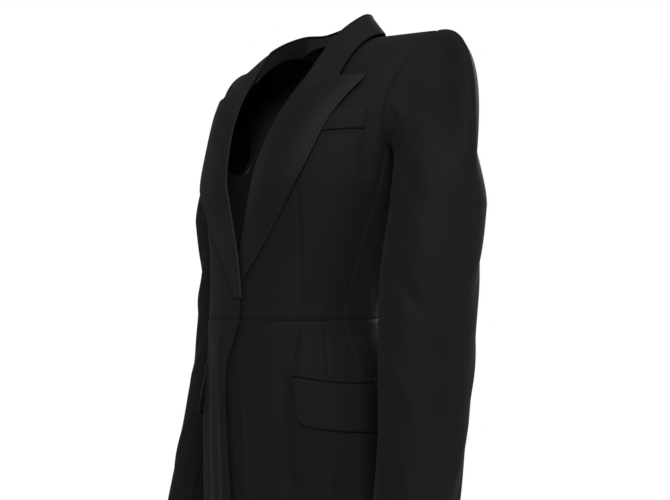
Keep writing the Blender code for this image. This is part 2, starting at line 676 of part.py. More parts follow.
def make_pockets():
    for side, word in SIDES:
        shift = 0.0 if side > 0 else POCKET_SHIFT
        turn = np.linspace(*POCKET_TURNS, 11)[None, :]
        down = np.linspace(0, 1, 2)[:, None]
        z = pocket_top(turn) - JET_HEIGHT * down
        patch("pocket_jet_" + word, side, turn - shift + 0 * z, z, PLY + 0 * z)
        edge = FLAP_CORNER * (1 - np.sqrt(1 - np.clip(1 - (turn - POCKET_TURNS[0]) / 4.0, 0, 1) ** 2))
        down = np.linspace(0, 1, 6)[:, None]
        z = pocket_top(turn) - JET_HEIGHT - 2 * SEAM_GAP - (FLAP_DEPTH - edge) * down
        patch("pocket_flap_" + word, side, turn - shift + 0 * z, z, PLY + 0.0015 * down + 0 * z)


def make_welt():
    share = np.linspace(0, 1, 6)[None, :]
    down = np.linspace(0, 1, 3)[:, None]
    x = WELT_IN[0] + (WELT_OUT[0] - WELT_IN[0]) * share + 0 * down
    top = WELT_IN[1] + (WELT_OUT[1] - WELT_IN[1]) * share
    bottom = WELT_IN[2] + (WELT_OUT[2] - WELT_IN[2]) * share
    turn, level = spot(x, top + (bottom - top) * down)
    out = form_out(turn, level)
    wall("breast_welt_left", form(turn, level) + out * LEAF, out, WOOL)


def make_fastening():
    """Flat hook plate hidden between the fronts, just above the waist seam."""
    level = HOOK_Z - BUST_Z
    centre = form(0.0, level) + form_out(0.0, level) * LAP_LIFT / 2
    count = 24
    angles = np.linspace(0, 2 * np.pi, count, endpoint=False)
    up = unit(form(0.0, level + 0.005) - form(0.0, level - 0.005))
    ring = HOOK_RADIUS * (np.cos(angles)[:, None] * np.array((1.0, 0, 0)) + np.sin(angles)[:, None] * up)
    back = ring - form_out(0.0, level) * HOOK_THICK / 2
    front = ring + form_out(0.0, level) * HOOK_THICK / 2
    faces = [tuple(range(count))[::-1], tuple(range(count, 2 * count))]
    faces += [(i, (i + 1) % count, count + (i + 1) % count, count + i) for i in range(count)]
    made = solid("waist_hook", np.concatenate((back, front)), faces, *HORN)
    made.location = centre


def main():
    for old in list(bpy.data.objects):
        bpy.data.objects.remove(old, do_unlink=True)
    make_fronts()
    make_sides()
    make_backs()
    make_sleeves()
    make_lapels()
    make_collar()
    make_pockets()
    make_welt()
    make_fastening()


main()
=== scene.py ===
# %% [markdown]
# # A woman's peak-lapel tuxedo jacket
# This lesson dresses a packed jacket, cut as a tailor cuts it, in wool suiting and satin.
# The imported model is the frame: every finished piece lies where its plain solid lies, and
# stands for it. The wearer faces -Y, the wearer's left side is +X, and +Z is up.

import math

import bpy
import numpy as np
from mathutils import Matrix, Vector


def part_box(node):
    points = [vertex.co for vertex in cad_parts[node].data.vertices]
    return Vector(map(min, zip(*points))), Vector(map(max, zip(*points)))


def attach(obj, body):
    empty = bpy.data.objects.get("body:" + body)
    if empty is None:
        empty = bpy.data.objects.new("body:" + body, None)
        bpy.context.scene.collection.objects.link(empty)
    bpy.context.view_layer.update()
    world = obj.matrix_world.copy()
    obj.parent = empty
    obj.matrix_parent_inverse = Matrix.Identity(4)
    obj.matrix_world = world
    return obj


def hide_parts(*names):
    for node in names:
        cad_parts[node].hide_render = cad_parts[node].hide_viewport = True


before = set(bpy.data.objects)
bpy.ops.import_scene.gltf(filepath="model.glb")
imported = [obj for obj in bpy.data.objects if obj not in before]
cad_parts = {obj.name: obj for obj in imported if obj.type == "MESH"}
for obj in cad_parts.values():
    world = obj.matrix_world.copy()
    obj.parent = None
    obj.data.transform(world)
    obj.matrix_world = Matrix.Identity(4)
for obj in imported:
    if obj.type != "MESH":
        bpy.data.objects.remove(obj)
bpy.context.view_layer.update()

# %% [markdown]
# ## The cut
# All the panels lie on one body form, because a fitted jacket is cut so that its panels join
# into one smooth surface. The form is a stack of rings, squarer than ellipses, that rise from
# the bust to the padded shoulder line. These are the sizes the plain solids were made from,
# so a finer surface on the same form covers them exactly.

# %% Sizes of the jacket, in metres
CLOTH = 0.0018
SEAM_GAP = 0.0003
PLY = CLOTH + SEAM_GAP
LEAF = PLY + 0.0005
BUST_Z = -0.220
WAIST_Z = -0.400
HEM_Z = float(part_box("front_skirt_left")[0][2])
GORGE_Z = -0.075
BREAK_Z = -0.372
RING_COLUMNS = ("height", "half_width", "centre", "front", "back")
RINGS = np.array((
    (-0.740, 0.167, -0.020, 0.150, 0.136),   # hem
    (-0.620, 0.165, -0.024, 0.150, 0.134),   # low hip
    (-0.550, 0.160, -0.030, 0.147, 0.129),   # hip
    (-0.470, 0.143, -0.043, 0.137, 0.112),   # pocket
    (-0.400, 0.119, -0.054, 0.119, 0.096),   # waist
    (-0.320, 0.134, -0.044, 0.120, 0.104),   # under the bust
    (-0.220, 0.163, -0.030, 0.134, 0.118),   # bust
))
RING_SQUARE = 2.3
NECK_HALF = 0.072
SHOULDER_HALF = 0.204
SHOULDER_DROP = 0.010
SHOULDER_Y = 0.020
NECK_RISE = 0.030
YOKE_SPREAD = SHOULDER_HALF / RINGS[-1][1]
FRONT_ROUND, BACK_ROUND = 1.65, 2.2
BLADE = 0.018
print("hem at", round(HEM_Z, 3), "waist at", WAIST_Z)


# %% Small number helpers
def smooth(x, knots, values):
    """Cubic curve through table rows."""
    slopes = np.gradient(values, knots)
    i = np.clip(np.searchsorted(knots, x, side="right") - 1, 0, len(knots) - 2)
    step = knots[i + 1] - knots[i]
    s = np.clip((x - knots[i]) / step, 0.0, 1.0)
    first = values[i] * (1 + 2 * s) * (1 - s) ** 2 + slopes[i] * step * s * (1 - s) ** 2
    return first + values[i + 1] * s * s * (3 - 2 * s) + slopes[i + 1] * step * s * s * (s - 1)


def ease(x, start, end):
    s = np.clip((x - start) / (end - start), 0.0, 1.0)
    return s * s * (3 - 2 * s)


def power(x, exponent):
    return np.sign(x) * np.abs(x) ** exponent


def unit(v):
    return v / np.maximum(np.linalg.norm(v, axis=-1, keepdims=True), 1e-12)


def mirrored(points, side):
    return points * np.array((side, 1.0, 1.0))


# %% The body form
def ring_value(name, z):
    return smooth(z, RINGS[:, 0], RINGS[:, RING_COLUMNS.index(name)])


def shoulder_z(across):
    out = np.abs(across)
    slope = -SHOULDER_DROP * (out - NECK_HALF) / (SHOULDER_HALF - NECK_HALF)
    return np.where(out > NECK_HALF, slope, NECK_RISE * (1 - (out / NECK_HALF) ** 2))


def form(turn, level):
    """Point of the form: turn in degrees from the front, level in metres below the bust,
    then from 0 to 1 between the bust and the shoulder line."""
    turn, level = np.broadcast_arrays(np.asarray(turn, float), np.asarray(level, float))
    angle = np.radians(turn)
    z_ring = BUST_Z + np.minimum(level, 0.0)
    x_ring = ring_value("half_width", z_ring) * power(np.sin(angle), 2 / RING_SQUARE)
    is_front = np.cos(angle) > 0
    depth = np.where(is_front, ring_value("front", z_ring), ring_value("back", z_ring))
    y_ring = ring_value("centre", z_ring) - depth * power(np.cos(angle), 2 / RING_SQUARE)
    rise = np.radians(90.0) * np.clip(level, 0.0, 1.0)
    bend = 2 / (FRONT_ROUND + (BACK_ROUND - FRONT_ROUND) * ease(np.abs(turn), 74.0, 106.0))
    over = np.clip(np.cos(rise), 0.0, 1.0) ** bend
    x_top = x_ring * YOKE_SPREAD
    x = x_ring + (x_top - x_ring) * np.sin(rise) ** 1.5
    blade = BLADE * np.sin(2 * rise) * np.clip(-np.cos(angle), 0, 1) ** 0.5
    y = SHOULDER_Y + (y_ring - SHOULDER_Y) * over + np.where(is_front, 0.0, blade)
    return np.stack((x, y, z_ring + (shoulder_z(x_top) - BUST_Z) * np.sin(rise) ** bend), axis=-1)


def form_out(turn, level):
    """Outward direction of the form."""
    turn, level = np.broadcast_arrays(np.asarray(turn, float), np.asarray(level, float))
    inner = np.minimum(level, 0.985)
    around = form(turn + 0.2, inner) - form(turn - 0.2, inner)
    upward = form(turn, inner + 0.002) - form(turn, inner - 0.002)
    out = unit(np.cross(around, upward))
    ridge = unit(out * np.array((1.0, 0.0, 1.0)))
    share = ease(level, 0.96, 0.999)[..., None]
    return unit(out * (1 - share) + ridge * share)


def turn_at(x, z):
    share = np.clip(np.abs(x) / ring_value("half_width", z), 0.0, 1.0)
    return np.sign(x) * np.degrees(np.arcsin(share ** (RING_SQUARE / 2)))


def spot(x, z):
    """Turn and level of the front's point at this distance across and this height."""
    x, z = np.broadcast_arrays(np.asarray(x, float), np.asarray(z, float))
    x_ring, level = x.copy(), np.zeros_like(x)
    for _ in range(12):
        share = (z - BUST_Z) / (shoulder_z(x_ring * YOKE_SPREAD) - BUST_Z)
        sine = np.clip(share, 0.0, 1.0) ** (FRONT_ROUND / 2)
        x_ring = x / (1 + (YOKE_SPREAD - 1) * sine ** 1.5)
        level = np.degrees(np.arcsin(sine)) / 90.0
    low = z < BUST_Z
    turn = np.where(low, turn_at(x, z), turn_at(x_ring, np.full_like(z, BUST_Z)))
    return turn, np.where(low, z - BUST_Z, level)


def yoke(across, over):
    """Turn and level near the shoulder seam: over is 0 on it, negative in front."""
    across, over = np.broadcast_arrays(np.asarray(across, float), np.asarray(over, float))
    front_turn = turn_at(across / YOKE_SPREAD, np.full_like(across, BUST_Z))
    back_turn = np.where(across < 0, -180.0, 180.0) - front_turn
    return np.where(over <= 0, front_turn, back_turn), 1 - np.abs(over)


print("shoulder point", form(74.0, 1.0).round(3))

# %% [markdown]
# ## Where the seams run
# The fronts are cut to the roll line, where the lapels turn back. The right front laps over
# the left, as on a woman's jacket. The side seams start below the armholes, which are deep
# ovals with a forward cut. One function gives each line, so neighbouring pieces share it.

# %% Cut lines
LAP, LAP_SWING, LAP_LIFT, HIP_FLAT = 0.013, 0.016, 0.0052, 0.011
NECK_SEAM_X = 0.0605
SIDE_SEAM, BACK_SEAM = 79.0, 127.0
ARMHOLE_MID, ARMHOLE_HALF, ARMHOLE_DRIFT, ARMHOLE_LEVEL = 90.0, 16.0, 2.0, 0.12
ARMHOLE_FRONT_CUT, ARMHOLE_BACK_CUT = 9.0, 5.0


def lift_at(side, turn, level):
    """The right front lies over the left one, and the right hip lies flatter."""
    if side > 0:
        return 0.0 * turn
    flat = ease(-turn, 8.0, 26.0) * (1 - ease(-turn, 60.0, 100.0)) * ease(-level, 0.18, 0.25)
    return LAP_LIFT * ease(turn, -48.0, -24.0) * (1 - ease(level, -0.04, 0.25)) - HIP_FLAT * flat


def inner_x(z, side=1):
    neck = NECK_SEAM_X + (NECK_HALF - NECK_SEAM_X) * ((z - GORGE_Z) / -GORGE_Z)
    roll = -LAP + (NECK_SEAM_X + LAP) * (z - BREAK_Z) / (GORGE_Z - BREAK_Z)
    skirt = -LAP - side * LAP_SWING * (1 - ease(z, -0.47, WAIST_Z)) * ease(z, -0.95, -0.5)
    return np.where(z > GORGE_Z, neck, np.where(z > BREAK_Z, roll, skirt))


def inner_turn(level, side=1):
    rise = np.sin(np.radians(90 * np.clip(level, 0, 1))) ** (2 / FRONT_ROUND)
    z = np.where(level < 0, BUST_Z + level, BUST_Z * (1 - rise))
    return spot(inner_x(z, side), z)[0]


def armhole(share):
    """Turn and level on the armhole: 0 shoulder point, 0.5 underarm, 1 shoulder point."""
    angle = np.pi * np.asarray(share, float)
    cut = np.where(angle < np.pi / 2, -ARMHOLE_FRONT_CUT, ARMHOLE_BACK_CUT) * np.sin(2 * angle) ** 2
    turn = ARMHOLE_MID - ARMHOLE_HALF * np.cos(angle) + ARMHOLE_DRIFT * np.sin(angle) + cut
    return turn, 1 - (1 - ARMHOLE_LEVEL) * np.sin(angle) ** 0.9


ARM_SHARES = np.linspace(0.0, 1.0, 721)
ARM_TURNS = armhole(ARM_SHARES)[0]
SIDE_SHARE = float(np.interp(SIDE_SEAM + 1.5, ARM_TURNS[180:540], ARM_SHARES[180:540]))
BACK_SHARE = float(np.interp(ARMHOLE_MID + 11.0, ARM_TURNS[180:540], ARM_SHARES[180:540]))
SIDE_TOP, BACK_TOP = armhole(SIDE_SHARE), armhole(BACK_SHARE)
WAIST_LEVEL = WAIST_Z - BUST_Z


def seam_turn(level, low_turn, top):
    return low_turn + (top[0] - low_turn) * ease(level, -0.09, float(top[1]))


def outer_turn(level, front):
    """Turn of a front's or back's outer edge: the side seam, then the armhole."""
    if front:
        shares, low_turn, top = np.linspace(0, SIDE_SHARE, 400), SIDE_SEAM, SIDE_TOP
    else:
        shares, low_turn, top = np.linspace(1, BACK_SHARE, 400), BACK_SEAM, BACK_TOP
    turns, levels = armhole(shares)
    order = np.argsort(levels)
    on_armhole = np.interp(level, levels[order], turns[order])
    return np.where(level >= float(top[1]), on_armhole, seam_turn(level, low_turn, top))


print("side seam meets the armhole at", [round(float(v), 2) for v in SIDE_TOP])

# %% [markdown]
# ## Soft folds
# A worn jacket is never as smooth as its pattern. The cloth hangs in long shallow folds that
# start where the body pushes or a seam holds it. Each row of this table is one fold, drawn on
# the cloth as a line from a start to an end, with its own width and depth, so that no two are
# alike. A positive depth is a ridge and a negative one a trough.

# %% The folds of the body and skirt
# side (+1 left, -1 right), start turn and height, end turn and height, half width, depth
BODY_FOLDS = np.array((
    (1, 46.0, -0.406, 31.0, -0.490, 0.011, -0.0046),   # trough from the waist, inside the pocket
    (1, 32.0, -0.450, 29.0, -0.620, 0.012, -0.0058),   # the same trough, falling straight
    (1, 30.0, -0.560, 36.0, -0.745, 0.019, -0.0070),   # and widening below the flap
    (1, 20.0, -0.440, 14.0, -0.745, 0.012, 0.0022),
    (1, 49.0, -0.555, 53.0, -0.745, 0.014, 0.0048),    # ridge under the pocket
    (1, 57.0, -0.545, 60.0, -0.745, 0.016, -0.0030),
    (1, 76.0, -0.550, 73.0, -0.745, 0.015, 0.0032),
    (1, 102.0, -0.440, 97.0, -0.745, 0.014, -0.0034),
    (1, 121.0, -0.430, 118.0, -0.745, 0.012, 0.0030),
    (1, 142.0, -0.445, 146.0, -0.745, 0.015, -0.0032),
    (1, 162.0, -0.470, 166.0, -0.745, 0.013, 0.0030),
    (1, 61.0, -0.120, 70.0, -0.215, 0.009, -0.0024),   # drag below the shoulder
    (1, 66.0, -0.100, 76.0, -0.190, 0.008, 0.0020),
    (1, 46.0, -0.300, 60.0, -0.388, 0.012, -0.0016),
    (1, 70.0, -0.330, 92.0, -0.392, 0.009, 0.0020),
    (1, 84.0, -0.300, 108.0, -0.380, 0.010, -0.0022),
    (1, 108.0, -0.250, 132.0, -0.392, 0.011, -0.0024),
    (1, 128.0, -0.300, 158.0, -0.396, 0.010, 0.0020),
    (1, 112.0, -0.110, 122.0, -0.230, 0.011, -0.0026),
    (1, 3.0, -0.415, 4.0, -0.745, 0.010, -0.0050),     # shade under the right front's edge
    (-1, 8.5, -0.402, 4.0, -0.500, 0.005, 0.0024),     # ridges along the right front's edge
    (-1, 3.0, -0.440, 2.0, -0.745, 0.008, 0.0050),
    (-1, 19.0, -0.400, 21.0, -0.700, 0.008, -0.0022),
    (-1, 29.0, -0.420, 33.0, -0.745, 0.012, 0.0032),
    (-1, 47.0, -0.540, 45.0, -0.745, 0.014, -0.0034),
    (-1, 66.0, -0.555, 69.0, -0.745, 0.015, 0.0030),
    (-1, 93.0, -0.430, 97.0, -0.745, 0.015, -0.0036),
    (-1, 116.0, -0.440, 113.0, -0.745, 0.012, 0.0030),
    (-1, 138.0, -0.430, 143.0, -0.745, 0.014, -0.0030),
    (-1, 158.0, -0.460, 161.0, -0.745, 0.014, 0.0028),
    (-1, 59.0, -0.125, 71.0, -0.220, 0.009, -0.0022),
    (-1, 66.0, -0.105, 77.0, -0.185, 0.008, 0.0018),
    (-1, 52.0, -0.310, 66.0, -0.390, 0.012, -0.0018),
    (-1, 76.0, -0.325, 97.0, -0.393, 0.010, 0.0020),
    (-1, 104.0, -0.260, 128.0, -0.388, 0.011, -0.0026),
    (-1, 132.0, -0.310, 160.0, -0.397, 0.010, 0.0018),
    (-1, 113.0, -0.120, 121.0, -0.240, 0.011, -0.0024),
))


def on_body(turn, z):
    """Point of the form at a turn and a height, a little bent level above the bust."""
    if z <= BUST_Z:
        return form(turn, z - BUST_Z)
    share = (z - BUST_Z) / (shoulder_z(0.15) - BUST_Z)
    bend = FRONT_ROUND if turn < 90 else BACK_ROUND
    return form(turn, np.degrees(np.arcsin(share ** (bend / 2))) / 90.0)


FOLD_KNOTS = 5
FOLD_START, FOLD_FULL = -0.02, 0.35      # shares of a fold's length where it starts and is full
FOLD_FADE, FOLD_END = 0.88, 1.02         # and where it fades, unless it runs to the hem


def nearest_on_line(points, knots):
    """Distance to a polyline and the share of its length at the nearest place."""
    whole = sum(np.linalg.norm(b - a) for a, b in zip(knots, knots[1:]))
    nearest = np.full(points.shape[:-1], 1e9)
    share = np.zeros(points.shape[:-1])
    passed = 0.0
    for a, b in zip(knots, knots[1:]):
        line = b - a
        size = np.linalg.norm(line)
        s = np.clip(((points - a) @ line) / size ** 2, 0.0, 1.0)
        gap = np.linalg.norm(points - (a + s[..., None] * line), axis=-1)
        share = np.where(gap < nearest, (passed + s * size) / whole, share)
        nearest = np.minimum(gap, nearest)
        passed += size
    return nearest, share


def body_folds(points, side):
    """Sum of the folds at points of the left-hand form, for one side."""
    total = np.zeros(points.shape[:-1])
    for own, turn, z, end_turn, end_z, width, depth in BODY_FOLDS:
        if own != side:
            continue
        turns = np.linspace(turn, end_turn, FOLD_KNOTS)
        heights = np.linspace(z, end_z, FOLD_KNOTS)
        knots = [on_body(t, h) for t, h in zip(turns, heights)]
        nearest, share = nearest_on_line(points, knots)
        fade = ease(share, FOLD_FADE, FOLD_END) * (end_z > HEM_Z)
        taper = ease(share, FOLD_START, FOLD_FULL) * (1 - fade)
        total += depth * taper * np.exp(-(nearest / width) ** 2)
    return total


print(len(BODY_FOLDS), "folds on the body")

# %% [markdown]
# ## Cloth as a shell
# Cloth is a thin sheet with two faces and a turned edge. It could be a plane with a Solidify
# modifier, but a mesh built by hand keeps the edge under control: the outer and the inner
# face come from one fine grid of points, and a ring round the edge bulges a little, as a
# pressed seam edge does. Near a sewn seam the cloth dips, because the stitches pull it in.

# %% Making a shell from a grid of points
BODY_STEP = 0.0027
SEAM_DIP, SEAM_DIP_WIDTH = 0.0014, 0.0028
EDGE_BULGE = 0.0002
sheets = []


def grid_normals(points, hint):
    """Unit normals of a grid, on the side that the hint directions point to."""
    across = np.gradient(points, axis=1)
    along = np.gradient(points, axis=0)
    out = unit(np.cross(across, along))
    agree = np.sign(np.sum(out * hint, axis=-1)).mean()
    return out if agree >= 0 else -out


def arc_lengths(points, axis):
    """Distance along a grid's lines, from their first point."""
    steps = np.linalg.norm(np.diff(points, axis=axis), axis=-1)
    pad = [(0, 0), (0, 0)]
    pad[axis] = (1, 0)
    return np.cumsum(np.pad(steps, pad), axis=axis)


def flat_size(points):
    """Width, length and area of the cloth that a grid stands for, in metres."""
    width = arc_lengths(points, 1)[:, -1].max()
    length = arc_lengths(points, 0)[-1].max()
    a = points[1:, 1:] - points[:-1, :-1]
    b = points[1:, :-1] - points[:-1, 1:]
    area = np.linalg.norm(np.cross(a, b), axis=-1).sum() / 2
    return float(width), float(length), float(area)


def seam_dip(points, sewn):
    """How far the cloth dips beside its sewn edges: t, b, l and r name them."""
    down, across = arc_lengths(points, 0), arc_lengths(points, 1)
    total = np.zeros(points.shape[:-1])
    gaps = {"t": down, "b": down[-1:] - down, "l": across, "r": across[:, -1:] - across}
    for key in sewn:
        total = np.maximum(total, np.exp(-(gaps[key] / SEAM_DIP_WIDTH) ** 2))
    return SEAM_DIP * total


def shell(name, points, hint, sewn="", finish="wool", thick=CLOTH, held="hung", on=()):
    """Closed cloth shell on a grid, put in place of its plain solid, which it hides."""
    grid = points.copy()
    normal = grid_normals(grid, hint)
    grid = grid - normal * seam_dip(grid, sewn)[..., None]
    for edge, inner in ((0, 2), (-1, -3)):
        grid[edge] += SEAM_GAP / 2 * unit(grid[inner] - grid[edge])
        grid[:, edge] += SEAM_GAP / 2 * unit(grid[:, inner] - grid[:, edge])
    normal = grid_normals(grid, hint)
    rows, columns = grid.shape[:2]
    count = rows * columns
    index = np.arange(count).reshape(rows, columns)
    rim = np.concatenate((index[0], index[1:, -1], index[-1, -2::-1], index[-2:0:-1, 0]))
    flat, out = grid.reshape(-1, 3), normal.reshape(-1, 3)
    centre = np.concatenate((index[1], index[1:, -2], index[-2, -2::-1], index[-2:0:-1, 1]))
    away = unit(flat[rim] - flat[centre] + 1e-9)
    middle = flat[rim] + away * EDGE_BULGE
    verts = np.concatenate((flat + out * thick / 2, flat - out * thick / 2, middle))
    a, b = index[:-1, :-1].ravel(), index[:-1, 1:].ravel()
    c, d = index[1:, 1:].ravel(), index[1:, :-1].ravel()
    outer = np.stack((a, b, c, d), axis=1)
    inner = outer[:, ::-1] + count
    ring = 2 * count + np.arange(len(rim))
    here, there = rim, np.roll(rim, -1)
    ring_here, ring_there = ring, np.roll(ring, -1)
    upper = np.stack((there, here, ring_here, ring_there), axis=1)
    lower = np.stack((ring_there, ring_here, here + count, there + count), axis=1)
    faces = np.concatenate((outer, inner, upper, lower))
    turn = np.cross(grid[0, 1] - grid[0, 0], grid[1, 0] - grid[0, 0])
    if np.dot(turn, normal[0, 0]) < 0:
        faces = faces[:, ::-1]
    mesh = bpy.data.meshes.new(name)
    mesh.from_pydata(verts.tolist(), [], faces.tolist())
    mesh.shade_smooth()
    uv = mesh.uv_layers.new(name="cloth")
    down, across = arc_lengths(points, 0).ravel(), arc_lengths(points, 1).ravel()
    flat_uv = np.stack((across, down), axis=1)
    flat_uv = np.concatenate((flat_uv, flat_uv, flat_uv[rim]))
    corners = np.empty(len(mesh.loops), dtype=np.int32)
    mesh.loops.foreach_get("vertex_index", corners)
    uv.data.foreach_set("uv", flat_uv[corners].astype(np.float32).ravel())
    made = bpy.data.objects.new("worn_" + name, mesh)
    bpy.context.collection.objects.link(made)
    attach(made, "root")
    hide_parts(name)
    mesh.materials.append(finishes[finish])
    sheets.append((made, flat_size(points), held, on))
    return made


def samples(length, step=BODY_STEP):
    """Number of grid lines that keeps the step on a length of cloth."""
    return max(4, int(round(length / step)) + 1)

# %% [markdown]
# ## Suiting, satin and horn
# Black suiting is not flat black: a fine twill line runs over it, its fibres catch light at a
# grazing angle, and its colour drifts a little. Satin is smoother, cooler and glossier. Each
# finish is one Principled shader, and its weave is a bump pattern measured in metres along the
# cloth's own threads, so the twill bends with every piece.

# %% A wrapper that writes shader maths as expressions
class Nodes:
    """Adds nodes to one material and wires them."""

    def __init__(self, name):
        self.material = bpy.data.materials.new(name)
        self.material.use_nodes = True
        self.tree = self.material.node_tree
        self.shader = self.tree.nodes["Principled BSDF"]

    def add(self, kind, settings=None, values=None, output=0):
        """One node: its settings are set first, then the values or links of its sockets."""
        node = self.tree.nodes.new(kind)
        for key, value in (settings or {}).items():
            setattr(node, key, value)
        for key, value in (values or {}).items():
            self.join(value, node.inputs[key])
        return Wire(self, node.outputs[output])

    def join(self, value, socket):
        if isinstance(value, Wire):
            self.tree.links.new(value.socket, socket)
        else:
            socket.default_value = value

    def finish(self, **values):
        """Set the shader's sockets by name, with underscores for spaces."""
        for key, value in values.items():
            self.join(value, self.shader.inputs[key.replace("_", " ")])
        return self.material


class Wire:
    """A value socket that takes part in arithmetic."""

    def __init__(self, nodes, socket):
        self.nodes = nodes
        self.socket = socket

    def maths(self, operation, a, b=0.0):
        return self.nodes.add("ShaderNodeMath", {"operation": operation}, {0: a, 1: b})

    def __add__(self, other):
        return self.maths("ADD", self, other)

    __radd__ = __add__

    def __mul__(self, other):
        return self.maths("MULTIPLY", self, other)

    def __sub__(self, other):
        return self.maths("SUBTRACT", self, other)

    def sine(self):
        return self.maths("SINE", self)


# %% The finishes
def cloth_finish(name, dark, light, roughness, thread, weave_depth, slub, **fixed):
    """Woven cloth: twill bump along its threads, drifting colour and roughness."""
    n = Nodes(name)
    uv = n.add("ShaderNodeUVMap", {"uv_map": "cloth"})
    split = n.add("ShaderNodeSeparateXYZ", values={0: uv})
    weft, warp = split, Wire(n, split.socket.node.outputs[1])
    twill = ((weft + warp) * (2 * math.pi / thread)).sine()
    cross = ((weft - warp) * (math.pi / thread)).sine()
    drift = n.add("ShaderNodeTexNoise", values={"Vector": uv, "Scale": 26.0, "Detail": 3.0})
    fibre = n.add("ShaderNodeTexNoise", values={"Vector": uv, "Scale": 900.0, "Detail": 2.0})
    shade = drift * 0.6 + fibre * 0.4
    colour = n.add("ShaderNodeMix", {"data_type": "RGBA"},
                   {0: shade, 6: (*dark, 1.0), 7: (*light, 1.0)}, output=2)
    height = twill * 0.5 + cross * 0.2 + fibre * slub
    bump = n.add("ShaderNodeBump", values={"Height": height, "Distance": weave_depth,
                                           "Strength": 0.6})
    made = n.finish(Base_Color=colour, Roughness=roughness + drift * 0.08, Normal=bump, **fixed)
    print("finish", name)
    return made


finishes = {
    "wool": cloth_finish("black_suiting", (0.0065, 0.0065, 0.0072), (0.0115, 0.0115, 0.0127),
                         0.74, 0.0011, 0.00006, 1.2, Specular_IOR_Level=0.22,
                         Sheen_Weight=0.035, Sheen_Roughness=0.5,
                         Sheen_Tint=(0.85, 0.9, 1.0, 1.0)),
    "satin": cloth_finish("black_satin", (0.0068, 0.0079, 0.0100), (0.0100, 0.0114, 0.0142),
                          0.56, 0.0006, 0.00002, 0.5, Specular_IOR_Level=0.24,
                          Sheen_Weight=0.02, Sheen_Roughness=0.4,
                          Sheen_Tint=(0.8, 0.88, 1.0, 1.0)),
}
horn = Nodes("blackened_hook")
grain = horn.add("ShaderNodeTexNoise", values={"Scale": 300.0, "Detail": 2.0})
horn.finish(Base_Color=(0.02, 0.02, 0.022, 1.0), Metallic=0.85, Roughness=0.32 + grain * 0.1)
finishes["horn"] = horn.material
print(len(finishes), "finishes")

# %% [markdown]
# ## Fronts and skirts
# Each panel runs between its own seams and is laid out in rows and columns that follow them.
# The bodice is cut at the waist, where a skirt panel of the same width is sewn on. A dart from
# the bust to the waist nips each front: here it is a narrow sunken line. The hem and the
# front edges are folded, so they stay crisp, and the sewn edges dip.

# %% Grid lines for the panels
DART_TOP = (0.0925, -0.205)      # across and height of the bust dart's upper end
DART_FOOT = (0.0930, -0.398)
HIP_DART_TURNS = (64.0, 58.5)    # a shorter dart below the waist, in front of the pocket's end
HIP_DART_HEIGHTS = (-0.412, -0.470)
LOW_DART = (-0.412, -0.444)


def line_groove(points, knots, half_width, depth):
    """Sunken line on the cloth, shallower toward its ends. Each stretch counts the same."""
    nearest = np.full(points.shape[:-1], 1e9)
    share = np.zeros(points.shape[:-1])
    stretches = len(knots) - 1
    for k, (a, b) in enumerate(zip(knots, knots[1:])):
        line = b - a
        s = np.clip(((points - a) @ line) / (line @ line), 0, 1)
        gap = np.linalg.norm(points - (a + s[..., None] * line), axis=-1)
        share = np.where(gap < nearest, (k + s) / stretches, share)
        nearest = np.minimum(nearest, gap)
    ends = ease(share, 0.0, 0.12) * (1 - ease(share, 0.93, 1.0) * 0.6)
    return -depth * ends * np.exp(-(nearest / half_width) ** 2)


def front_line(ends, count=14):
    """Points on the front between two places, given across and height."""
    xs, zs = np.linspace(ends[0][0], ends[1][0], count), np.linspace(ends[0][1], ends[1][1], count)
    return form(*spot(xs, zs))


def darts(points):
    """All the darts of one front, on the left-hand form."""
    upper = line_groove(points, front_line((DART_TOP, DART_FOOT)), 0.0018, 0.0024)
    lower = line_groove(points, front_line(((0.0925, LOW_DART[0]), (0.0915, LOW_DART[1])), 5),
                        0.0018, 0.0020)
    turns = np.linspace(*HIP_DART_TURNS, 8)
    hip_points = form(turns, np.linspace(*HIP_DART_HEIGHTS, 8) - BUST_Z)
    return upper + lower + line_groove(points, hip_points, 0.0018, 0.0020)


def body_sheet(name, side, turns, levels, sewn, darted=False):
    """One panel of the body, with its folds and darts."""
    points, out = form(turns, levels), form_out(turns, levels)
    rise = body_folds(points, side)
    if darted:
        rise = rise + darts(points)
    rise = rise + lift_at(side, side * turns, levels)
    points = points + out * rise[..., None]
    return shell(name, mirrored(points, side), mirrored(out, side), sewn)


def between(start, end, shares):
    return start[:, None] + (end - start)[:, None] * shares[None, :]


SIDES = ((1, "left"), (-1, "right"))
low_levels = np.linspace(WAIST_LEVEL, 0.0, samples(0.19))
skirt_levels = np.linspace(HEM_Z, WAIST_Z, samples(0.345)) - BUST_Z


def bodice_levels(side_top):
    lower = np.linspace(0.0, side_top, samples(0.05))[1:]
    upper = np.linspace(side_top, 1.0, samples(0.22))[1:]
    return np.concatenate((low_levels, lower, upper))


front_levels = bodice_levels(float(SIDE_TOP[1]))
back_levels = bodice_levels(float(BACK_TOP[1]))
print("rows", len(skirt_levels), len(front_levels), len(back_levels))

# %% Fronts, front skirts
for side, word in SIDES:
    shares = np.linspace(0, 1, samples(0.19))
    turns = between(inner_turn(front_levels), outer_turn(front_levels, True), shares)
    body_sheet("front_bodice_" + word, side, turns, front_levels[:, None] + 0 * turns,
               "tbr", darted=True)
    shares = np.linspace(0, 1, samples(0.24))
    start = inner_turn(skirt_levels, side)
    turns = between(start, SIDE_SEAM + 0 * start, shares)
    body_sheet("front_skirt_" + word, side, turns, skirt_levels[:, None] + 0 * turns,
               "br", darted=True)
print(len(sheets), "sheets")

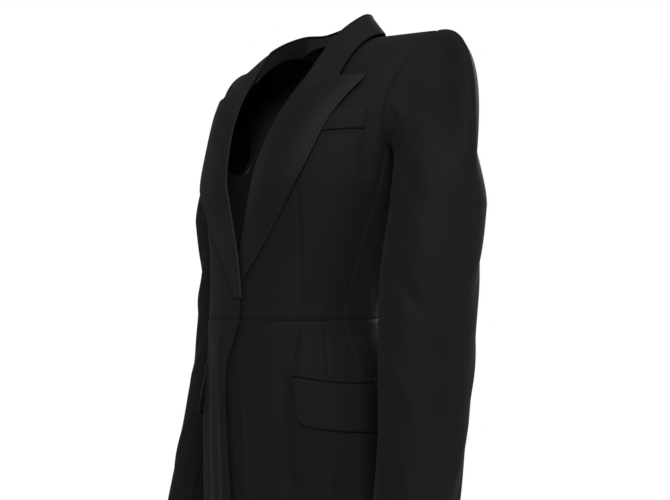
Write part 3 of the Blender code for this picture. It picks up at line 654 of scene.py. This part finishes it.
# %% Side panels
shares = np.linspace(SIDE_SHARE, BACK_SHARE, samples(0.13))
top_turns, top_levels = armhole(shares)
share = np.linspace(0, 1, len(shares))[None, :]
low = low_levels[:, None] + 0 * top_levels[None, :]
rises = np.linspace(0, 1, samples(0.06))[1:, None]
levels = np.concatenate((low, top_levels[None, :] * rises))
front, back = seam_turn(levels, SIDE_SEAM, SIDE_TOP), seam_turn(levels, BACK_SEAM, BACK_TOP)
rise = ((levels - WAIST_LEVEL) / (top_levels - WAIST_LEVEL)) ** 3
plain_top = SIDE_TOP[0] * (1 - share) + BACK_TOP[0] * share
turns = front * (1 - share) + back * share + (top_turns[None, :] - plain_top) * rise
below = np.linspace(SIDE_SEAM, BACK_SEAM, samples(0.17))[None, :] + 0 * skirt_levels[:, None]
for side, word in SIDES:
    body_sheet("side_bodice_" + word, side, turns, levels, "tblr")
    body_sheet("side_skirt_" + word, side, below, skirt_levels[:, None] + 0 * below, "blr")

# %% Backs
NAPE_OVER = 0.24
NECK_TURN = 180.0 - float(yoke(NECK_HALF, 0.0)[0])
for side, word in SIDES:
    shares = np.linspace(0, 1, samples(0.18))
    levels = back_levels[:, None] + 0 * shares[None, :]
    turns = between(outer_turn(back_levels, False), 180.0 + 0 * back_levels, shares)
    drop = NAPE_OVER * ease(turns, NECK_TURN, 180.0) * np.ones_like(levels)
    levels = np.where(levels > 0, levels * (1 - drop), levels)
    body_sheet("back_bodice_" + word, side, turns, levels, "tblr")
    shares = np.linspace(0, 1, samples(0.15))
    start = np.full_like(skirt_levels, BACK_SEAM)
    turns = between(start, np.full_like(start, 180.0), shares)
    body_sheet("back_skirt_" + word, side, turns, skirt_levels[:, None] + 0 * turns, "blr")
print(len(sheets), "sheets with the backs")

# %% [markdown]
# ## Sleeves
# A two-piece sleeve has a wide top half and a narrow under half, and hangs a little forward.
# Its cap is eased into the armhole, so small soft swells stand below the seam. Further down
# the cloth sags into crossing drag folds at the elbow, each one short and different.

# %% The sleeve's form
SLEEVE_COLUMNS = ("height", "out", "half_x", "half_y", "left_y", "right_y")
SLEEVES = np.array((
    (-0.690, 0.242, 0.043, 0.059, -0.098, -0.034),   # cuff
    (-0.560, 0.239, 0.047, 0.060, -0.071, -0.002),
    (-0.430, 0.236, 0.050, 0.068, -0.057, 0.027),    # elbow
    (-0.340, 0.233, 0.055, 0.069, -0.045, 0.035),
    (-0.250, 0.231, 0.055, 0.066, -0.026, 0.021),    # upper arm
))
SLEEVE_TUCK = 0.0014      # the sleeve starts this far under the body's edge
CAP_SHARE = 0.40


def armhole_frame(around):
    """Point, outward direction and the direction into the sleeve, round the armhole."""
    share = np.asarray(around, float) / 360.0
    near = np.clip(share, 0.004, 0.996)
    point = form(*armhole(share))
    out = form_out(*armhole(near))
    along = form(*armhole(near + 0.003)) - form(*armhole(near - 0.003))
    into = unit(np.cross(out, unit(along)))
    hollow = form(*armhole(np.linspace(0, 1, 60))).mean(axis=0) + np.array((0.15, 0, 0))
    into = into * np.sign(np.sum(into * (hollow - point), axis=-1, keepdims=True))
    return point, out, into


def sleeve(around, along, side):
    """Point of a sleeve: around is 0 outside, 90 in front, 180 inside; along is 0 to 1."""
    around, along = np.broadcast_arrays(np.asarray(around, float), np.asarray(along, float))
    angle = np.radians(around)
    y_name = "left_y" if side > 0 else "right_y"
    top_z, cuff_z = SLEEVES[-1, 0], SLEEVES[0, 0]
    z = top_z + (cuff_z - top_z) * np.clip((along - CAP_SHARE) / (1 - CAP_SHARE), 0, 1)
    column = {name: smooth(z, SLEEVES[:, 0], SLEEVES[:, SLEEVE_COLUMNS.index(name)])
              for name in ("out", "half_x", "half_y", y_name)}
    x = column["out"] + column["half_x"] * power(np.cos(angle), 0.9)
    y = column[y_name] - column["half_y"] * power(np.sin(angle), 0.9)
    ring = np.stack((x, y, z), axis=-1)
    start, _, into = armhole_frame(around % 360.0)
    outside = (0.5 + 0.5 * np.cos(angle))[..., None]
    start = start - into * SLEEVE_TUCK
    leave = unit(into + np.array((1.2, 0.0, 0.0)) * (1 - outside)
                 + np.array((0, 0, 0.12)) * outside)
    chord = np.linalg.norm(ring - start, axis=-1, keepdims=True)
    s = np.clip(along / CAP_SHARE, 0, 1)[..., None]
    cap = (start * (1 + 2 * s) * (1 - s) ** 2
           + leave * chord * (0.75 + 0.25 * outside) * s * (1 - s) ** 2
           + ring * s * s * (3 - 2 * s)
           + np.array((0, 0, -1.0)) * chord * 0.75 * s * s * (s - 1))
    return np.where((along < CAP_SHARE)[..., None], cap, ring)


print("cuff at", sleeve(90.0, 1.0, 1).round(3))

# %% Folds of the sleeves
# start around and along, end around and along, half width, depth; around 0 is the outside
SLEEVE_FOLDS = {
    1: ((70.0, 0.10, 30.0, 0.34, 0.011, -0.0030),
        (40.0, 0.05, 8.0, 0.30, 0.010, 0.0024),
        (110.0, 0.16, 74.0, 0.42, 0.012, -0.0036),
        (-50.0, 0.14, -66.0, 0.32, 0.014, -0.0014),
        (84.0, 0.40, 36.0, 0.52, 0.012, 0.0030),
        (100.0, 0.50, 44.0, 0.60, 0.011, -0.0040),
        (62.0, 0.62, 10.0, 0.68, 0.012, -0.0034),
        (96.0, 0.66, 50.0, 0.76, 0.011, 0.0034),
        (30.0, 0.74, -14.0, 0.84, 0.013, -0.0028),
        (100.0, 0.80, 66.0, 0.90, 0.012, -0.0032),
        (-60.0, 0.46, -20.0, 0.56, 0.012, -0.0030),
        (-80.0, 0.60, -36.0, 0.72, 0.012, 0.0030),
        (-50.0, 0.80, -10.0, 0.94, 0.013, -0.0026)),
    -1: ((66.0, 0.08, 26.0, 0.30, 0.011, -0.0028),
         (36.0, 0.12, 4.0, 0.33, 0.010, 0.0024),
         (104.0, 0.14, 80.0, 0.40, 0.012, -0.0034),
         (-34.0, 0.12, -50.0, 0.30, 0.012, -0.0028),
         (90.0, 0.44, 40.0, 0.54, 0.012, -0.0036),
         (74.0, 0.54, 24.0, 0.62, 0.011, 0.0030),
         (98.0, 0.62, 52.0, 0.72, 0.012, -0.0036),
         (50.0, 0.74, 4.0, 0.80, 0.012, -0.0030),
         (92.0, 0.82, 58.0, 0.92, 0.012, 0.0030),
         (-66.0, 0.50, -24.0, 0.60, 0.012, -0.0032),
         (-84.0, 0.66, -40.0, 0.76, 0.012, 0.0028),
         (-46.0, 0.84, -12.0, 0.95, 0.013, -0.0024)),
}


DEGREE_WIDTH = 0.00098           # metres of cloth round a sleeve for each degree
SLEEVE_LENGTH = 0.62
CAP_SWELL, CAP_SWELLS = 0.0013, 9.0
SWELL_PLACE, SWELL_WIDTH = 0.07, 0.045


def sleeve_folds(around, along, side):
    """Fold heights on a sleeve, measured in its own flat sizes."""
    turned = (around + 180.0) % 360.0 - 180.0
    total = np.zeros(np.broadcast(around, along).shape)
    flat = np.array((DEGREE_WIDTH, SLEEVE_LENGTH))
    place = np.stack(np.broadcast_arrays(turned, along), axis=-1) * flat
    for a0, s0, a1, s1, width, depth in SLEEVE_FOLDS[side]:
        start, end = np.array((a0, s0)) * flat, np.array((a1, s1)) * flat
        line = end - start
        s = ((place - start) @ line) / (line @ line)
        gap = np.linalg.norm(place - (start + np.clip(s, 0, 1)[..., None] * line), axis=-1)
        taper = np.sin(np.pi * np.clip(s * 0.84 + 0.08, 0, 1)) ** 0.7
        total += depth * taper * np.exp(-(gap / width) ** 2)
    ease_in = ease(along, 0.0, 0.05) * (1 - 0.6 * ease(along, 0.96, 1.0))
    swell = CAP_SWELL * np.sin(np.radians(around * CAP_SWELLS))
    swell = swell * np.exp(-((along - SWELL_PLACE) / SWELL_WIDTH) ** 2)
    return (total + swell * (np.cos(np.radians(around)) > 0.0)) * ease_in


# %% Sleeves, each in two halves
seam_level = float(BACK_TOP[1]) + (1 - float(BACK_TOP[1])) * 2 / 7
back_arm = np.linspace(1.0, BACK_SHARE, 800)
BACK_SEAM_SHARE = float(np.interp(seam_level, armhole(back_arm)[1][::-1], back_arm[::-1]))
rows = np.concatenate((np.linspace(0, CAP_SHARE, samples(0.26)),
                       np.linspace(CAP_SHARE, 1.0, samples(0.44))[1:]))
cuts = (("top_sleeve_", np.linspace(BACK_SEAM_SHARE - 1, SIDE_SHARE, samples(0.30))),
        ("under_sleeve_", np.linspace(SIDE_SHARE, BACK_SEAM_SHARE, samples(0.20))))
for side, word in SIDES:
    for name, shares in cuts:
        around = 360.0 * shares[None, :] + 0 * rows[:, None]
        along = rows[:, None] + 0 * around
        points = sleeve(around, along, side)
        step = sleeve(around + 1.0, along, side) - sleeve(around - 1.0, along, side)
        ahead = sleeve(around, np.minimum(along + 0.01, 1.0), side)
        behind = sleeve(around, np.maximum(along - 0.01, 0.0), side)
        out = unit(np.cross(step, ahead - behind))
        out[0] = armhole_frame(around[0] % 360.0)[1]
        points = points + out * sleeve_folds(around, along, side)[..., None]
        shell(name + word, mirrored(points, side), mirrored(out, side), "tlr")
print(len(sheets), "sheets with the sleeves")

# %% [markdown]
# ## Lapels and collar
# The peaked lapels are the turned-back front edges, faced in satin. Their roll is a soft bend
# round the front's edge, and the leaf floats a little off the chest before its edge settles.
# The collar is wool: a stand rises from the neck seam, and the fall folds over its top and
# meets the lapel along the gorge. Both are grids in the same rows as the plain solids.

# %% The lapel's form
LAPEL_CORNER, LAPEL_NOTCH = (0.085, -0.095), (0.117, -0.081)
LAPEL_TIP = (0.150, -0.079)
LAPEL_EDGE = np.array((          # across and height of the outer edge, tip to break
    (0.150, -0.079), (0.126, -0.125), (0.100, -0.205), (0.050, -0.292), (-0.006, -0.372)))
LAPEL_ROLL, LAPEL_LIFT = 0.006, 0.003
LAPEL_RIM, RIM_WIDTH = 0.0008, 0.05      # the pressed edge, and its width as a share
LAPEL_WAVE, WAVE_TURNS = 0.0011, 11.0
GORGE_SHARES = (0.0, 0.3, 0.65, 1.0)


def gorge(share):
    corners = np.array(((NECK_SEAM_X, GORGE_Z), LAPEL_CORNER, LAPEL_NOTCH, LAPEL_TIP))
    across = np.interp(share, GORGE_SHARES, corners[:, 0])
    return across, np.interp(share, GORGE_SHARES, corners[:, 1])


def lapel_spot(along, share):
    """Across and height: along from gorge to break, share from roll to outer edge."""
    roll_z = GORGE_Z + (BREAK_Z - GORGE_Z) * along
    roll_x = inner_x(roll_z)
    edge_z = LAPEL_TIP[1] + (BREAK_Z - LAPEL_TIP[1]) * along
    edge_x = smooth(edge_z, LAPEL_EDGE[::-1, 1], LAPEL_EDGE[::-1, 0])
    top_x, top_z = gorge(share)
    fade = (1 - along) ** 3
    wide, high = LAPEL_TIP[0] - NECK_SEAM_X, LAPEL_TIP[1] - GORGE_Z
    x = roll_x + (edge_x - roll_x) * share + fade * (top_x - NECK_SEAM_X - wide * share)
    return x, roll_z + (edge_z - roll_z) * share + fade * (top_z - GORGE_Z - high * share)


def lapel_lift(along, share):
    free = 1 - ease(along, 0.45, 0.70)
    rim = LAPEL_RIM * np.exp(-((1 - share) / RIM_WIDTH) ** 2) * ease(along, 0.0, 0.1)
    wave = LAPEL_WAVE * np.sin(along * WAVE_TURNS + share * 2.0) * share ** 2 * free
    soft = LAPEL_ROLL * 4 * share * (1 - share) + LAPEL_LIFT * share ** 2 + wave
    return LEAF + soft * free + rim


def lapel_grid(along, shares, side, arc_angles=(90.0, 60.0, 30.0)):
    """Lapel points: an arc over the front's edge, then the leaf itself."""
    along = along[:, None]
    turn, level = spot(*lapel_spot(along + 0 * shares, shares[None, :] + 0 * along))
    out = form_out(turn, level)
    base = form(turn, level) + out * lift_at(side, side * turn, level)[..., None]
    leaf = base + out * lapel_lift(along, shares[None, :])[..., None]
    edge, normal = base[:, :1], out[:, :1]
    away = unit(base[:, :1] - base[:, 3:4])
    away = unit(away - normal * np.sum(away * normal, axis=-1, keepdims=True))
    angles = np.radians(arc_angles)[None, :, None]
    arc = edge + LEAF * (away * np.sin(angles) + normal * np.cos(angles))
    return np.concatenate((arc, leaf), axis=1)


LAPEL_ALONG = np.linspace(0, 1, 121)
LAPEL_SHARES = np.linspace(0, 1, 49)
ARC = (90.0, 75.0, 60.0, 45.0, 30.0, 15.0)
for side, word in SIDES:
    points = lapel_grid(LAPEL_ALONG, LAPEL_SHARES, side, ARC)
    hint = np.zeros_like(points) + form_out(15.0, 0.1)
    shell("lapel_" + word, mirrored(points, side), mirrored(hint, side), "", "satin",
          held="folded", on=("front_bodice_" + word,))
print("lapels done")

# %% The collar's form
COLLAR_COLUMNS = ("station", "crest_x", "crest_y", "crest_z", "edge_across", "edge_over")
COLLAR = np.array((
    (-0.25, -0.047, 0.047, 0.039, -0.055, 0.190),
    (0.00, 0.000, 0.060, 0.041, 0.000, 0.230),    # centre back
    (0.25, 0.047, 0.047, 0.039, 0.055, 0.190),
    (0.50, 0.066, 0.011, 0.032, 0.098, 0.000),    # over the shoulder seam
    (0.75, 0.067, -0.045, -0.007, 0.112, -0.270),
    (1.00, 0.061, -0.098, -0.072, 0.126, -0.510),  # gorge
))
COLLAR_CURVE = 0.004
STAND_INSET = 0.0012
COLLAR_SINK = np.array((0.006, 0.0, -0.012))   # the right half is worn lower
CREST = ("crest_x", "crest_y", "crest_z")


def collar_value(name, station):
    return smooth(station, COLLAR[:, 0], COLLAR[:, COLLAR_COLUMNS.index(name)])


def collar_point(station):
    return np.stack([collar_value(name, station) for name in CREST], axis=-1)


def neck_spot(station):
    """Turn and level of the neck seam: 0 centre back, 0.5 shoulder, 1 gorge."""
    back_turn = 180.0 + (NECK_TURN - 180.0) * np.clip(station / 0.5, 0, 1)
    back_level = 1 - NAPE_OVER * ease(back_turn, NECK_TURN, 180.0)
    z = GORGE_Z * np.clip((station - 0.5) / 0.5, 0, 1)
    turn, level = spot(inner_x(z), z)
    return np.where(station <= 0.5, back_turn, turn), np.where(station <= 0.5, back_level, level)


def collar_frame(station):
    """Crest, direction away from the neck seam and outward direction."""
    crest = collar_point(station)
    along = collar_point(np.minimum(station + 0.02, 1)) - collar_point(station - 0.02)
    up = unit(crest - form(*neck_spot(np.minimum(station, 0.9))))
    square = np.sum(along ** 2, axis=-1, keepdims=True)
    up = unit(up - along * np.sum(up * along, axis=-1, keepdims=True) / square)
    return crest, up, unit(np.cross(up, along))


def collar_leaf(station, shares, arc_count):
    """The fall: over the stand's top, then down to its outer edge."""
    crest, up, out = collar_frame(station)
    across, over = collar_value("edge_across", station), collar_value("edge_over", station)
    turn, level = yoke(across, over)
    edge_out = form_out(turn, level)
    edge = form(turn, level) + edge_out * (LEAF + LAPEL_LIFT)
    start_angle = 150.0 - 60.0 * ease(station, 0.75, 1.0)
    arc = []
    for k in range(arc_count):
        a = np.radians(start_angle * (1 - k / arc_count))[:, None]
        arc.append(crest + LEAF * (up * np.sin(a) + out * np.cos(a)))
    top = crest + LEAF * out
    middle = (top + edge) / 2 + unit(edge_out + out) * COLLAR_CURVE
    s = shares[None, :, None]
    leaf = top[:, None] * (1 - s) ** 2 + 2 * middle[:, None] * s * (1 - s) + edge[:, None] * s * s
    return np.concatenate((np.stack(arc, axis=1), leaf), axis=1)


def sunk(points, station, shares):
    """Right half of a collar piece: the left half mirrored and sunk, its share 0 side most."""
    fall = np.sin(np.pi * np.clip(station / 0.76, 0, 1))[:, None, None]
    return mirrored(points, -1) + COLLAR_SINK * fall * (1 - shares)[None, :, None]


# %% Collar fall and stand
station = np.concatenate((np.linspace(0, 0.7, 60), np.linspace(0.7, 1.0, 40)[1:]))
shares = np.linspace(0, 1, 25)
left = collar_leaf(station, shares, 6)
end = lapel_grid(np.array((0.0,)), np.linspace(0, GORGE_SHARES[2], 25), 1, ARC)[0]
weight = (np.clip((station - 0.7) / 0.3, 0, 1) ** 2)[:, None, None]
left = left + weight * (end - left[-1])[None]
right = sunk(left, station, np.concatenate((np.zeros(6), shares)))[1:][::-1]
points = np.concatenate((right, left), axis=0)
shell("collar_fall", points, np.zeros_like(points) + np.array((0.0, 0.5, 1.0)), "",
      held="folded", on=("collar_stand",))

station = np.linspace(0, 0.88, 70)
crest = collar_frame(station)[0]
seam = form(*neck_spot(station))
inward = unit((np.array((0, 0.015, 0)) - seam) * np.array((1, 1, 0)))
out = form_out(*neck_spot(station))
inward = unit(inward - out * np.sum(inward * out, axis=-1, keepdims=True))
foot = seam + inward * STAND_INSET - out * CLOTH
s = np.linspace(0, 1, 14)[None, :, None]
foot = foot - unit(crest - foot) * 0.005
left = foot[:, None] + (crest - foot)[:, None] * s
right = sunk(left, station, 1 - s[0, :, 0])[1:][::-1]
points = np.concatenate((right, left), axis=0)
shell("collar_stand", points, points * np.array((1.0, 1.0, 0.0)))
print("collar done")

# %% [markdown]
# ## Pockets, breast welt and hook
# Small pieces are cut from the panel's own points, moved out by one ply, so they lie on the
# cloth and follow its folds. A flap hangs from its jet and lifts slightly at its lower edge.
# The fastening is a flat hook plate, hidden between the crossed fronts.

# %% Small laid pieces
POCKET_TURNS, POCKET_Z, POCKET_SLANT = (37.0, 86.0), -0.465, 0.012
POCKET_SHIFT = 10.0      # the right pocket sits this many degrees nearer the front
CORNER_SPREAD = 4.0      # degrees over which a flap's front corner is rounded
FLAP_FLARE = {1: 0.0016, -1: 0.0060}
FLAP_RIPPLE, JET_ROUND = 0.0006, 0.0005
JET_HEIGHT, FLAP_DEPTH, FLAP_CORNER = 0.005, 0.062, 0.014
WELT_IN = (0.089, -0.127, -0.155)
WELT_OUT = (0.1575, -0.121, -0.149)


def pocket_top(turn):
    share = (turn - POCKET_TURNS[0]) / (POCKET_TURNS[1] - POCKET_TURNS[0])
    return POCKET_Z - POCKET_SLANT * np.sin(np.radians(90.0) * np.clip(share, 0, 1))


def laid_patch(name, side, turn, z, lift, sewn=""):
    """A piece on the skirt, made from the folded panel's own points."""
    level = z - BUST_Z
    base, out = form(turn, level), form_out(turn, level)
    rise = lift_at(side, side * turn, level) + body_folds(base, side) + lift
    points = base + out * rise[..., None]
    front = "front_skirt_left" if side > 0 else "front_skirt_right"
    return shell(name, mirrored(points, side), mirrored(out, side), sewn, held="laid",
                 on=(front,))


# %% Pockets
for side, word in SIDES:
    shift = 0.0 if side > 0 else POCKET_SHIFT
    turn = np.linspace(*POCKET_TURNS, 61)[None, :]
    down = np.linspace(0, 1, 5)[:, None]
    z = pocket_top(turn) - JET_HEIGHT * down
    laid_patch("pocket_jet_" + word, side, turn - shift + 0 * z, z,
               PLY + JET_ROUND * np.sin(np.pi * down) + 0 * z)
    near = np.clip(1 - (turn - POCKET_TURNS[0]) / CORNER_SPREAD, 0, 1)
    rounding = FLAP_CORNER * (1 - np.sqrt(1 - near ** 2))
    down = np.linspace(0, 1, 26)[:, None]
    z = pocket_top(turn) - JET_HEIGHT - 2 * SEAM_GAP - (FLAP_DEPTH - rounding) * down
    ripple = FLAP_RIPPLE * np.sin(turn * 0.21 + 1.0 + side) * down
    lift = PLY + FLAP_FLARE[side] * down ** 1.5 + ripple
    laid_patch("pocket_flap_" + word, side, turn - shift + 0 * z, z, lift + 0 * z, "t")
print("pockets done")

# %% Breast welt
share = np.linspace(0, 1, 31)[None, :]
down = np.linspace(0, 1, 13)[:, None]
x = WELT_IN[0] + (WELT_OUT[0] - WELT_IN[0]) * share + 0 * down
top = WELT_IN[1] + (WELT_OUT[1] - WELT_IN[1]) * share
bottom = WELT_IN[2] + (WELT_OUT[2] - WELT_IN[2]) * share
turn, level = spot(x, top + (bottom - top) * down)
base, out = form(turn, level), form_out(turn, level)
points = base + out * (LEAF + body_folds(base, 1))[..., None]
shell("breast_welt_left", points, out, "", held="laid", on=("front_bodice_left",))

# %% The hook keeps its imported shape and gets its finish
hook = bpy.data.objects["waist_hook"]
hook.data.materials[0] = finishes["horn"]
print("hook", hook.name)

# %% Sizes of every sheet's cut
# A jet shows 5.4 mm of cloth, and a sheet can't be declared under 10 mm. Its length is doubled,
# as for a strip folded double. The share of its area is a guess and isn't measured.
JET_LENGTHS, JET_AREA_GUESS = 2, 1.2
by_name = {made.name: made for made, _, _, _ in sheets}
for made, (width, length, area), held, on in sheets:
    resting = [by_name["worn_" + name] for name in on]
    if "pocket_jet" in made.name:
        length, area = length * JET_LENGTHS, area * JET_AREA_GUESS
    print(made.name, round(width, 3), round(length, 3), round(area, 4))
triangles = sum(sum(len(p.vertices) - 2 for p in made.data.polygons) for made, *_ in sheets)
print("triangles", triangles)

# %% [markdown]
# ## Studio
# The jacket hangs in a bright plain room. Large soft lights stand in front and above, so the
# black cloth shows its folds without hard glints. The floor is pale and lies well below.

# %% Floor
FLOOR_Z, FLOOR_RADIUS = -1.42, 2.4
bpy.ops.mesh.primitive_circle_add(vertices=96, radius=FLOOR_RADIUS, fill_type="NGON",
                                  location=(0, 0, FLOOR_Z))
floor = bpy.context.object
floor.name = "studio_floor"
paper = Nodes("pale_paper")
tone = paper.add("ShaderNodeTexNoise", values={"Scale": 3.0, "Detail": 2.0})
floor.data.materials.append(paper.finish(Base_Color=(0.82, 0.82, 0.82, 1.0),
                                         Roughness=0.8 + tone * 0.05))
print("floor at", FLOOR_Z)

# %% Lights
def soft_light(name, place, target, size, watts):
    data = bpy.data.lights.new(name, "AREA")
    data.size, data.energy = size, watts
    lamp = bpy.data.objects.new(name, data)
    bpy.context.collection.objects.link(lamp)
    lamp.location = place
    lamp.rotation_euler = (Vector(target) - Vector(place)).to_track_quat("-Z", "Y").to_euler()
    return lamp


CHEST = (0.0, 0.0, -0.35)
LIGHTS = (
    # name, place, target, size, watts
    ("key_softbox", (2.3, -1.9, 1.3), (0.1, 0.0, -0.3), 1.2, 52),
    ("top_softbox", (0.6, -0.3, 2.4), (0.0, 0.0, -0.3), 1.2, 8),
    ("side_softbox", (2.6, 0.8, 0.5), CHEST, 1.2, 6),
    ("fill_softbox", (-2.4, -1.4, 0.4), CHEST, 1.2, 4),
    ("back_softbox", (-0.8, 2.6, 0.8), CHEST, 1.4, 40),
)
for light in LIGHTS:
    soft_light(*light)
print(len(LIGHTS), "lights")

# %% The room's own light
world = bpy.data.worlds.new("white_room")
bpy.context.scene.world = world
world.use_nodes = True
tree = world.node_tree
tree.nodes.clear()
path = tree.nodes.new("ShaderNodeLightPath")
dim = tree.nodes.new("ShaderNodeBackground")
dim.inputs["Color"].default_value = (1, 1, 1, 1)
dim.inputs["Strength"].default_value = 0.13
white = tree.nodes.new("ShaderNodeBackground")
white.inputs["Color"].default_value = (1, 1, 1, 1)
white.inputs["Strength"].default_value = 1.0
choice = tree.nodes.new("ShaderNodeMixShader")
result = tree.nodes.new("ShaderNodeOutputWorld")
tree.links.new(path.outputs["Is Camera Ray"], choice.inputs[0])
tree.links.new(dim.outputs[0], choice.inputs[1])
tree.links.new(white.outputs[0], choice.inputs[2])
tree.links.new(choice.outputs[0], result.inputs[0])
bpy.context.scene.view_settings.view_transform = "Standard"
print("world", world.name)

# %% Camera
CAMERA_TURN, CAMERA_DISTANCE, CAMERA_HEIGHT = 45.0, 1.5, -0.36
CAMERA_PITCH = 2.235
camera_data = bpy.data.cameras.new("camera")
camera_data.lens = 55.07
camera_data.sensor_width = 36.0
camera_data.shift_x = 0.0134
camera = bpy.data.objects.new("camera", camera_data)
bpy.context.collection.objects.link(camera)
turned = math.radians(CAMERA_TURN)
camera.location = (CAMERA_DISTANCE * math.sin(turned), -CAMERA_DISTANCE * math.cos(turned),
                   CAMERA_HEIGHT)
aim = Vector((0, 0, CAMERA_HEIGHT + CAMERA_DISTANCE * math.tan(math.radians(CAMERA_PITCH))))
camera.rotation_euler = (aim - camera.location).to_track_quat("-Z", "Y").to_euler()
bpy.context.scene.camera = camera
print("camera", [round(v, 3) for v in camera.location])
